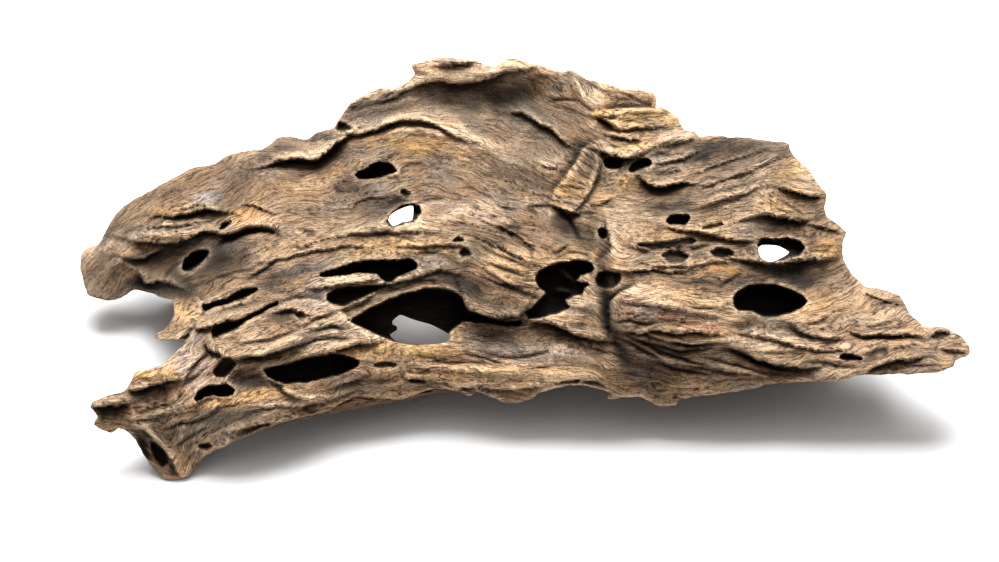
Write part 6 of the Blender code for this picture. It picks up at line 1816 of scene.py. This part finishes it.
@dataclass
class Painter:
    """Lays the colours of the wood on a mesh as attributes that its finish reads."""

    relief: Relief
    brightest: float = 0.74
    shade_share: float = 1.0
    darkest_shade: float = 0.25
    spot_stray: float = 6.0
    streak_size: Mark = (14.0, 50.0)
    mottle_size: Mark = (7.0, 26.0)
    mottle_shift: float = 60.0
    cloud_size: Mark = (34.0, 26.0)
    cloud_shift: float = 30.0
    # Raised places are lightened and sunken ones darkened: painted highlight and painted shade, with some
    # wear.
    small_bend: float = 0.00022
    small_rounds: int = 3
    small_wear_and_shading: float = 0.3
    large_bend: float = 0.0010
    large_rounds: int = 30
    large_wear_and_shading: float = 0.32
    # Worn edges and lips are painted pale and lifted: wear and painted highlight.
    edge_wear_and_highlight: float = 0.3
    edge_pale: float = 0.45
    under_grain: float = 40.0

    def streak(self, points: Array) -> Array:
        """Gives long soft streaks along the grain."""
        across, along = self.relief.grain.course(points)
        return self.relief.waves[5].layers(across / self.streak_size[0], along / self.streak_size[1], 3)

    def tint(self, points: Array) -> Array:
        """Gives the base colour at marks on the drawing, in linear light, painted shade and highlight
        included.

        Args:
            points: Marks on the drawing, one a row.

        Returns:
            A colour for each mark.
        """
        u, v = points.T
        waves = self.relief.waves
        stray = self.relief.stray(points)
        spots = points + stray * self.spot_stray
        colour = np.tile(TAN.linear(), (len(points), 1))
        for patch in PATCHES:
            colour += (patch.tone.linear() - colour) * weight_of(patch, spots)[:, None]
        across, along = self.relief.grain.course(points)
        mottle = waves[5].layers(
            across / self.mottle_size[0] + self.mottle_shift, along / self.mottle_size[1], 3
        )
        cloud = waves[4].layers(
            u / self.cloud_size[0] + self.cloud_shift, v / self.cloud_size[1], 3
        )
        for tone, share in (
            (BROWN, np.clip(-mottle - 0.10, 0.0, 0.5) * 0.6),
            (PALE, np.clip(mottle - 0.12, 0.0, 0.5) * 0.9),
            (ASH, np.clip(cloud - 0.15, 0.0, 0.5) * 1.2),
        ):
            colour += (tone.linear() - colour) * share[:, None]
        # Lines of stain, painted shade and painted highlight.
        for stain_and_shading in STAINS_AND_SHADING:
            near = nearness(points + stray, stain_and_shading.line, stain_and_shading.width * 3)
            weight = stain_and_shading.strength * falling(near.gap, stain_and_shading.width) * fade(near.along)
            colour[near.near] += (stain_and_shading.tone.linear() - colour[near.near]) * weight[:, None]
        # Spots of painted highlight and painted shade, and the wood's own lighter and darker patches.
        for shade in SHADES:
            share = 1.0 + self.shade_share * weight_of(shade, spots)
            colour *= np.maximum(share, self.darkest_shade)[:, None]
        return colour * np.minimum(1.0, self.brightest / colour.max(axis=1))[:, None]

    def paint(
        self, mesh: bpy.types.Mesh, points: Array, painted_shade: Array, worn_and_highlight: Array, below: Array
    ) -> None:
        """Writes the grain, tint, painted shade, wear with painted shading, and texture of each vertex.

        Args:
            mesh: The mesh to dress.
            points: Mark of each vertex on the drawing.
            painted_shade: How much painted shade each vertex has, from 0 to 1.
            worn_and_highlight: How much wear and painted highlight each vertex has, from 0 to 1.
            below: Whether each vertex belongs to the underside.
        """
        count = len(points)
        places, normals = np.empty(count * 3), np.empty(count * 3)
        mesh.vertices.foreach_get("co", places)
        mesh.vertices.foreach_get("normal", normals)
        places, normals = places.reshape(-1, 3), normals.reshape(-1, 3)
        pairs = np.empty(len(mesh.edges) * 2, int)
        mesh.edges.foreach_get("vertices", pairs)
        pairs = pairs.reshape(-1, 2)
        around = np.bincount(pairs.ravel(), minlength=count)

        def blurred(values: Array, rounds: int) -> Array:
            """Averages values with their neighbours.

            Args:
                values: One row for each vertex.
                rounds: How often to average.

            Returns:
                The averaged rows.
            """
            for _ in range(rounds):
                total = values.copy()
                for axis in range(values.shape[1]):
                    total[:, axis] += np.bincount(pairs[:, 0], values[pairs[:, 1], axis], count)
                    total[:, axis] += np.bincount(pairs[:, 1], values[pairs[:, 0], axis], count)
                values = total / (around + 1)[:, None]
            return values

        def bend(rounds: int, size: float) -> Array:
            """Tells raised places, above 0, from sunken ones."""
            return ((places - blurred(places, rounds)) * normals).sum(axis=1) / size

        small = np.clip(bend(self.small_rounds, self.small_bend), -1.5, 1.5)
        small = blurred(small[:, None], 1)[:, 0]
        large = np.clip(bend(self.large_rounds, self.large_bend), -2.5, 1.0)
        # Lightens raised and worn places and darkens sunken ones: wear, painted highlight and painted
        # shade.
        wear_and_shading = self.small_wear_and_shading * small + self.large_wear_and_shading * large + self.edge_wear_and_highlight * worn_and_highlight
        unit = self.relief.drawing.unit / MM
        across, along = self.relief.grain.course(points)
        under = np.where(below, self.under_grain, 0.0)
        colour = self.tint(points)
        # Pales worn edges and lips: wear and painted highlight.
        colour += (PALE.linear() - colour) * self.edge_pale * worn_and_highlight[:, None]
        brown = np.tile(BROWN.linear(), (int(below.sum()), 1))
        colour[below] = mottled(brown, self.streak(points[below]))
        write_attributes(mesh, np.stack([across * unit, along * unit, under], axis=-1), colour, {
            "painted_shade": painted_shade,
            "wear_and_shading": np.clip(wear_and_shading, -1.0, 1.0),
            "texture": np.where(below, 0.0, self.relief.texture(points)),
        })


@dataclass(frozen=True)
class WoodFinish:
    """Old, dry, water-worn wood with open fibres."""

    name: str = "Weathered wood"
    roughness: float = 0.82
    specular: float = 0.25
    contrast: float = 1.3
    lightness: float = 0.87
    bump: float = 0.8
    bump_height: float = 0.0010
    fibre_light: Stops = ((0.36, 0.52), (0.44, 0.84), (0.51, 1.0), (0.62, 1.15))
    dash_light: Stops = ((0.30, 0.45), (0.38, 0.96), (0.60, 1.0), (0.72, 1.12))
    seam_light: Stops = ((0.455, 1.0), (0.478, 0.42), (0.492, 0.46), (0.51, 1.0))
    split_light: Stops = ((0.40, 1.0), (0.43, 0.58), (0.45, 0.60), (0.475, 1.0))
    speck_light: Stops = ((0.32, 0.60), (0.45, 0.95), (0.56, 1.02), (0.70, 1.30))
    pit_light: Stops = ((0.38, 0.25), (0.47, 0.95), (0.64, 1.3))
    # The last two ramps turn wear and curvature into wear with painted highlight and shade, and darkness
    # into painted shade.
    wear_and_shading_light: Stops = ((0.0, 0.38), (0.5, 0.90), (1.0, 1.22))
    painted_shade_light: Stops = ((0.0, 1.0), (0.35, 0.60), (0.7, 0.25), (1.0, 0.09))
    speck_scale: float = 1100.0
    pit_scale: float = 520.0

    def material(self) -> bpy.types.Material:
        """Builds the node material.

        Returns:
            The material.
        """
        made = bpy.data.materials.new(self.name)
        made.use_nodes = True
        tree = made.node_tree
        shader = tree.nodes["Principled BSDF"]
        shader.inputs["Roughness"].default_value = self.roughness
        shader.inputs["Specular IOR Level"].default_value = self.specular
        nodes = Nodes(tree)
        grain = nodes.attribute("grain", "Vector")
        tint = nodes.attribute("tint", "Color")
        painted_shade = nodes.attribute("painted_shade", "Fac")
        wear_and_shading = nodes.attribute("wear_and_shading", "Fac")
        texture = nodes.attribute("texture", "Fac")
        fine = nodes.noise(nodes.scaled(grain, (3.0, 0.32, 1.0)), 1.0, 4.0)
        broad = nodes.noise(nodes.scaled(grain, (1.0, 0.14, 1.0)), 1.0, 3.0)
        dash = nodes.noise(nodes.scaled(grain, (1.7, 0.40, 3.0)), 1.0, 2.0)
        speck = nodes.noise(nodes.coordinates(), self.speck_scale, 4.0)
        seam = nodes.noise(nodes.scaled(grain, (0.55, 0.055, 5.0)), 1.0, 2.0)
        split = nodes.noise(nodes.scaled(grain, (0.95, 0.13, 7.0)), 1.0, 2.0)
        fibres = nodes.math("ADD", nodes.times(fine, 0.6), nodes.times(broad, 0.4))
        light = nodes.ramp(fibres, self.fibre_light)
        light = nodes.times(light, nodes.ramp(dash, self.dash_light))
        lines = nodes.ramp(seam, self.seam_light)
        lines = nodes.times(lines, nodes.ramp(split, self.split_light))
        light = nodes.times(light, lines)
        light = nodes.mixed(light, 1.0, nodes.times(nodes.math("ABSOLUTE", texture, 0.0), 0.7))
        spots = nodes.ramp(speck, self.speck_light)
        pits = nodes.ramp(nodes.noise(nodes.coordinates(), self.pit_scale, 4.0), self.pit_light)
        spots = nodes.times(spots, nodes.mixed(1.0, pits, nodes.math("MAXIMUM", texture, 0.0)))
        light = nodes.times(light, spots)
        # Painted highlight and painted shade from the wear and darkness attributes.
        lift = nodes.ramp(nodes.math("MULTIPLY_ADD", wear_and_shading, 0.5, 0.5), self.wear_and_shading_light)
        light = nodes.times(nodes.times(light, lift), nodes.ramp(painted_shade, self.painted_shade_light))
        light = nodes.times(nodes.math("POWER", light, self.contrast), self.lightness)
        tree.links.new(nodes.tinted(tint, light), shader.inputs["Base Color"])
        height = nodes.math("ADD", fibres, nodes.times(speck, 0.35))
        height = nodes.math("ADD", height, nodes.times(lines, 0.35))
        tree.links.new(nodes.bump(height, self.bump, self.bump_height), shader.inputs["Normal"])
        return made


@dataclass
class Nodes:
    """Short ways to add the nodes that the finishes use."""

    tree: bpy.types.NodeTree

    def attribute(self, name: str, output: str) -> Socket:
        """Reads an attribute of the mesh."""
        node = self.tree.nodes.new("ShaderNodeAttribute")
        node.attribute_name = name
        return node.outputs[output]

    def coordinates(self) -> Socket:
        """Gives the object coordinates."""
        return self.tree.nodes.new("ShaderNodeTexCoord").outputs["Object"]

    def scaled(self, vector: Socket, scale: tuple[float, float, float]) -> Socket:
        """Scales a vector by a fixed amount on each axis."""
        node = self.tree.nodes.new("ShaderNodeMapping")
        node.inputs["Scale"].default_value = scale
        self.tree.links.new(vector, node.inputs["Vector"])
        return node.outputs["Vector"]

    def noise(self, vector: Socket, scale: float, detail: float) -> Socket:
        """Adds a noise of a scale and detail."""
        node = self.tree.nodes.new("ShaderNodeTexNoise")
        node.inputs["Scale"].default_value = scale
        node.inputs["Detail"].default_value = detail
        self.tree.links.new(vector, node.inputs["Vector"])
        return node.outputs["Fac"]

    def times(self, first: Socket, second: Socket | float) -> Socket:
        """Multiplies a socket by a socket or a number."""
        return self.math("MULTIPLY", first, second)

    def math(
        self, kind: str, first: Socket, second: Socket | float, third: float | None = None
    ) -> Socket:
        """Adds a math node on a socket and one or two further values.

        Args:
            kind: Name of the operation.
            first: First value.
            second: Second value.
            third: Third value, if the operation takes one.

        Returns:
            The result.
        """
        node = self.tree.nodes.new("ShaderNodeMath")
        node.operation = kind
        self.tree.links.new(first, node.inputs[0])
        if isinstance(second, (int, float)):
            node.inputs[1].default_value = second
        else:
            self.tree.links.new(second, node.inputs[1])
        if third is not None:
            node.inputs[2].default_value = third
        return node.outputs[0]

    def ramp(self, value: Socket, stops: Stops) -> Socket:
        """Maps a value through straight stretches between rising stops of place and strength.

        Args:
            value: The value to map.
            stops: Places from 0 to 1 and their strengths, in order.

        Returns:
            The strength at the value.
        """
        node = self.tree.nodes.new("ShaderNodeFloatCurve")
        curve = node.mapping.curves[0]
        top = max(strength for _, strength in stops)
        curve.points[0].location = (0.0, stops[0][1] / top)
        curve.points[1].location = (1.0, stops[-1][1] / top)
        for place, strength in stops:
            if 0.0 < place < 1.0:
                curve.points.new(place, strength / top)
        for point in curve.points:
            point.handle_type = "VECTOR"
        node.mapping.update()
        self.tree.links.new(value, node.inputs["Value"])
        return self.times(node.outputs["Value"], top)

    def mixed(self, first: Socket | float, second: Socket | float, share: Socket) -> Socket:
        """Blends two values by a share of the second.

        Args:
            first: Value at a share of 0.
            second: Value at a share of 1.
            share: The share.

        Returns:
            The blend.
        """
        node = self.tree.nodes.new("ShaderNodeMix")
        self.tree.links.new(share, node.inputs["Factor"])
        for value, socket in ((first, node.inputs[2]), (second, node.inputs[3])):
            if isinstance(value, (int, float)):
                socket.default_value = value
            else:
                self.tree.links.new(value, socket)
        return node.outputs[0]

    def tinted(self, colour: Socket, light: Socket) -> Socket:
        """Brightens or darkens a colour."""
        node = self.tree.nodes.new("ShaderNodeVectorMath")
        node.operation = "SCALE"
        self.tree.links.new(colour, node.inputs["Vector"])
        self.tree.links.new(light, node.inputs["Scale"])
        return node.outputs["Vector"]

    def bump(self, height: Socket, strength: float, distance: float) -> Socket:
        """Turns a height into small dents."""
        node = self.tree.nodes.new("ShaderNodeBump")
        node.inputs["Strength"].default_value = strength
        node.inputs["Distance"].default_value = distance
        self.tree.links.new(height, node.inputs["Height"])
        return node.outputs["Normal"]


@dataclass
class Studio:
    """A plain white floor, soft light from above and the camera."""

    drawing: Drawing
    sensor: float = 36.0
    floor_size: float = 6.0
    floor_light: float = 0.9
    floor_roughness: float = 0.9
    level_light: float = 0.04
    overhead_light: float = 0.92
    lamp_size: float = 1.1
    lamp_power: float = 31.0
    lamp_place: tuple[float, float, float] = (-0.02, 0.35, 1.14)
    bounce_size: float = 0.02
    bounce_power: float = 0.003
    bounce_place: tuple[float, float, float] = (-0.038, 0.032, 0.022)

    def build(self) -> None:
        """Sets up floor, light and camera."""
        self._floor()
        self._light()
        self._camera()

    def _floor(self) -> None:
        """Lays the floor just under the feet."""
        work = bmesh.new()
        bmesh.ops.create_grid(work, x_segments=1, y_segments=1, size=self.floor_size / 2)
        mesh = bpy.data.meshes.new("floor")
        work.to_mesh(mesh)
        work.free()
        floor = bpy.data.objects.new("floor", mesh)
        bpy.context.scene.collection.objects.link(floor)
        made = bpy.data.materials.new("Floor")
        made.use_nodes = True
        shader = made.node_tree.nodes["Principled BSDF"]
        shader.inputs["Base Color"].default_value = (self.floor_light,) * 3 + (1.0,)
        shader.inputs["Roughness"].default_value = self.floor_roughness
        mesh.materials.append(made)
        floor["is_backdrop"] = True

    def _light(self) -> None:
        """Makes the room bright and hangs a large soft lamp over the piece, a tiny one below."""
        world = bpy.data.worlds.new("Studio")
        world.use_nodes = True
        tree = world.node_tree
        background = tree.nodes["Background"]
        background.inputs["Color"].default_value = (1.0, 1.0, 1.0, 1.0)
        height = tree.nodes.new("ShaderNodeSeparateXYZ")
        tree.links.new(tree.nodes.new("ShaderNodeTexCoord").outputs["Generated"], height.inputs["Vector"])
        nodes = Nodes(tree)
        strength = nodes.math("MULTIPLY_ADD", height.outputs["Z"], self.overhead_light, self.level_light)
        tree.links.new(strength, background.inputs["Strength"])
        bpy.context.scene.world = world
        overhead = self._lamp("Overhead", self.lamp_size, self.lamp_power, self.lamp_place)
        overhead.rotation_mode = "QUATERNION"
        overhead.rotation_quaternion = Vector(self.lamp_place).to_track_quat("Z", "Y")
        self._lamp("Bounce", self.bounce_size, self.bounce_power, self.bounce_place)

    def _lamp(
        self, name: str, size: float, power: float, place: tuple[float, float, float]
    ) -> bpy.types.Object:
        """Hangs a square lamp, facing straight down until it is turned.

        Args:
            name: Name of the lamp.
            size: Its side in metres.
            power: Its power in watts.
            place: Where it hangs.

        Returns:
            The lamp's object.
        """
        lamp = bpy.data.lights.new(name, "AREA")
        lamp.size = size
        lamp.energy = power
        held = bpy.data.objects.new(name, lamp)
        held.location = place
        bpy.context.scene.collection.objects.link(held)
        return held

    def _camera(self) -> None:
        """Sets the camera at the drawing's own point of view."""
        lens = bpy.data.cameras.new("Camera")
        seen = self.drawing.width * self.drawing.unit
        lens.sensor_width = self.sensor
        lens.lens = self.sensor * self.drawing.look_from / seen
        camera = bpy.data.objects.new("Camera", lens)
        back = Vector((0.0, -math.cos(self.drawing.look_down), math.sin(self.drawing.look_down)))
        camera.location = Vector(self.drawing.look_at) + back * self.drawing.look_from
        camera.rotation_mode = "QUATERNION"
        camera.rotation_quaternion = back.to_track_quat("Z", "Y")
        bpy.context.scene.collection.objects.link(camera)
        bpy.context.scene.camera = camera
        bpy.context.scene.view_settings.view_transform = "Standard"


@dataclass
class Root:
    """A root or rib on the underside, drawn out ring by ring along its course."""

    name: str
    marks: list[tuple[float, float, float, float, float]]
    ring_points: int = 48
    ring_steps: int = 14
    smooth_rounds: int = 6
    cover: float = 0.0025
    clear_of: float = 12.0
    plan_centre: Mark = (-5.87, 96.2)
    grain_shift: float = 80.0
    mottle_size: Mark = (4.0, 14.0)
    mottle_shift: float = 20.0
    lightness: float = 0.85
    # A little painted shade over the whole root.
    painted_shade: float = 0.1

    @property
    def turns(self) -> Array:
        """The angle of each point of a ring."""
        return 2 * np.pi * np.arange(self.ring_points) / self.ring_points

    def build(self, relief: Relief) -> bpy.types.Object:
        """Builds the root.

        Args:
            relief: Gives the random waves that roughen it.

        Returns:
            The finished object, at the origin.
        """
        stops = np.array(self.marks, float)
        stops[:, :2] -= np.array(self.plan_centre)
        count = (len(stops) - 1) * self.ring_steps + 1
        places, marks = np.linspace(0, len(stops) - 1, count), np.arange(len(stops))
        rings = np.stack([np.interp(places, marks, column) for column in stops.T], axis=-1)
        for _ in range(self.smooth_rounds):
            rings[1:-1] = (rings[:-2] + 2 * rings[1:-1] + rings[2:]) / 4
        courses = np.gradient(rings[:, :3], axis=0)
        work = bmesh.new()
        circle = bmesh.ops.create_circle(work, cap_ends=True, segments=self.ring_points, radius=1.0)
        loop = circle["verts"]
        grain, length = [], 0.0
        for level, (ring, course) in enumerate(zip(rings, courses)):
            if level:
                length += float(np.linalg.norm(rings[level, :3] - rings[level - 1, :3]))
                near = {edge for vertex in loop for edge in vertex.link_edges}
                edges = {edge for edge in near if set(edge.verts) <= set(loop)}
                grown = bmesh.ops.extrude_edge_only(work, edges=list(edges))["geom"]
                fresh = [part for part in grown if isinstance(part, bmesh.types.BMVert)]
                below = {vertex: vertex.co.copy() for vertex in fresh}
                loop = [min(fresh, key=lambda v: (below[v] - old.co).length_squared) for old in loop]
            self._shape_ring(loop, ring, course, level, relief)
            grain += [(abs(t - math.pi) * ring[4], length, self.grain_shift) for t in self.turns]
        bmesh.ops.contextual_create(work, geom=loop)
        face_outward(work)
        self._keep_under(work, relief)
        mesh = bpy.data.meshes.new(self.name)
        work.to_mesh(mesh)
        work.free()
        mesh.shade_smooth()
        self._dress(mesh, np.array(grain), relief)
        return bpy.data.objects.new(self.name, mesh)

    def _shape_ring(
        self, loop: list[bmesh.types.BMVert], ring: Array, course: Array, level: int, relief: Relief
    ) -> None:
        """Sets one ring across the course, with flutes and lumps.

        Args:
            loop: The ring's vertices in order.
            ring: Middle of the ring and its half sizes, in millimetres.
            course: The way the root runs here.
            level: Number of the ring.
            relief: Gives the random waves.
        """
        way = Vector(course).normalized()
        wide_way = (Vector((1, 0, 0)) - way * way.x).normalized()
        deep_way = way.cross(wide_way)
        across, back = np.cos(self.turns), np.sin(self.turns)
        seed = sum(ord(letter) for letter in self.name)
        flute = relief.waves[2].layers(6 + 3.0 * across + seed, 6 + 3.0 * back + level * 0.03, 2)
        fine = relief.waves[3].layers(9 + 9.0 * across, 9.0 * back + level * 0.06 + seed, 2)
        lumps = 1.0 + 0.12 * np.sin(3 * self.turns + 0.11 * level) + 0.30 * flute + 0.12 * fine
        for vertex, turn, lump in zip(loop, self.turns, lumps):
            reach = wide_way * (ring[3] * math.cos(turn)) + deep_way * (ring[4] * math.sin(turn))
            vertex.co = (Vector(ring[:3]) + reach * lump) * MM
            vertex.co.z = max(vertex.co.z, 0.0)

    def _keep_under(self, work: bmesh.types.BMesh, relief: Relief) -> None:
        """Pushes back what would come through the face, along the line of sight.

        Args:
            work: The root's shape.
            relief: Gives the face.
        """
        places = np.array([vertex.co for vertex in work.verts])
        points, depth = relief.drawing.marks(places)
        upper = np.full(len(points), np.inf)
        for turn in np.linspace(0.0, 2.0 * np.pi, 9):
            around = points + self.clear_of * (turn < 6.0) * np.array((math.cos(turn), math.sin(turn)))
            upper = np.minimum(upper, relief.skins(around)[0])
        hidden = inside(points, relief.rim)
        kept = np.where(hidden, np.minimum(depth, upper - self.cover), depth)
        for vertex, place in zip(work.verts, relief.drawing.place(points[:, 0], points[:, 1], kept)):
            vertex.co = place
            vertex.co.z = max(vertex.co.z, 0.0)

    def _dress(self, mesh: bpy.types.Mesh, grain: Array, relief: Relief) -> None:
        """Writes the attributes that the finish reads.

        Args:
            mesh: The root's mesh.
            grain: Place of each vertex across and along the grain.
            relief: Gives the random waves.
        """
        count = len(mesh.vertices)
        wave = relief.waves[5].layers(
            grain[:, 0] / self.mottle_size[0] + self.mottle_shift,
            grain[:, 1] / self.mottle_size[1], 3,
        )
        brown = np.tile(BROWN.linear() * self.lightness, (count, 1))
        write_attributes(mesh, grain, mottled(brown, wave), {
            "painted_shade": np.full(count, self.painted_shade), "wear_and_shading": np.zeros(count),
        })


# Roots and ribs of the underside: each mark is in millimetres over the ground plan (along, back,
# up), followed by half its width along and half its width back.
ROOTS: list[Root] = [
    Root("root_back", [
        (-2, 138, 68, 27, 14), (2, 147, 54, 21, 12), (8, 156, 38, 16, 11), (13, 163, 22, 13, 10),
        (14, 168, 8, 11, 9), (14, 168, 0, 9, 8),
    ]),
    Root("root_back_left", [
        (-38, 138, 64, 15, 13), (-28, 149, 51, 11, 10), (-13, 157, 37, 9, 8), (3, 163, 24, 8, 8),
        (14, 166, 12, 7, 7),
    ]),
    Root("root_back_right", [
        (66, 136, 62, 20, 13), (55, 148, 48, 14, 10), (40, 157, 36, 12, 9), (26, 163, 22, 10, 8),
        (16, 167, 8, 8, 7),
    ]),
    Root("root_right", [
        (104, 89, 30, 22, 11), (113, 89, 20, 16, 10), (121, 89, 10, 12, 9), (125, 90, 4, 9, 8),
        (125, 90, 0, 8, 7),
    ]),
    Root("root_right_strand", [
        (62, 90, 50, 10, 12), (86, 94, 28, 8, 9), (106, 93, 15, 7, 8), (122, 90, 7, 6, 7),
    ]),
    Root("rib_under", [
        (-134, 12, 14, 9, 8), (-112, 42, 25, 11, 9), (-82, 72, 32, 10, 9), (-52, 94, 38, 11, 9),
        (-24, 118, 46, 13, 10), (-4, 142, 58, 15, 12),
    ]),
    Root("rib_front", [
        (-126, 16, 20, 8, 9), (-80, 30, 22, 6, 9), (-30, 48, 22, 6, 9), (20, 52, 25, 7, 10),
        (62, 58, 33, 9, 12), (86, 66, 46, 9, 12),
    ]),
    Root("lump_lobe", [
        (-124, 100, 47, 20, 12), (-139, 122, 28, 17, 10), (-147, 136, 14, 11, 8), (-147, 141, 8, 5, 5),
    ]),
]


def face_outward(work: bmesh.types.BMesh) -> None:
    """Turns all faces outward."""
    bmesh.ops.recalc_face_normals(work, faces=work.faces)
    if work.calc_volume(signed=True) < 0.0:
        bmesh.ops.reverse_faces(work, faces=work.faces)


def keep_inside(piece: bpy.types.Object, low: Array, high: Array, spare: float = 1e-5) -> None:
    """Draws vertices that reach beyond a box back to just inside it.

    Args:
        piece: The piece.
        low: Lowest corner of the box.
        high: Highest corner of the box.
        spare: How far inside, in metres.
    """
    places = np.empty(len(piece.data.vertices) * 3)
    piece.data.vertices.foreach_get("co", places)
    places = np.clip(places.reshape(-1, 3), low + spare, high - spare)
    places[:, 2] = np.maximum(places[:, 2], 0.0)
    piece.data.vertices.foreach_set("co", places.ravel())
    piece.data.update()


def main() -> None:
    """Builds the piece, dresses it and sets it in the studio."""
    logging.basicConfig(level=logging.INFO, format="%(message)s")
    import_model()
    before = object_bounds()
    drawing = Drawing()
    relief = Relief(drawing, Grain(COMBS))
    finish = WoodFinish().material()
    pieces = [Shell(relief).build()] + [root.build(relief) for root in ROOTS]
    for piece in pieces:
        keep_inside(piece, np.array(before[0]), np.array(before[1]))
        piece.data.materials.clear()
        piece.data.materials.append(finish)
        for face in piece.data.polygons:
            face.material_index = 0
        bpy.context.scene.collection.objects.link(piece)
        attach(piece, "root")
        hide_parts("driftwood")
        LOG.info("%s: %d faces", piece.name, len(piece.data.polygons))
    Studio(drawing).build()


if __name__ == "__main__":
    main()
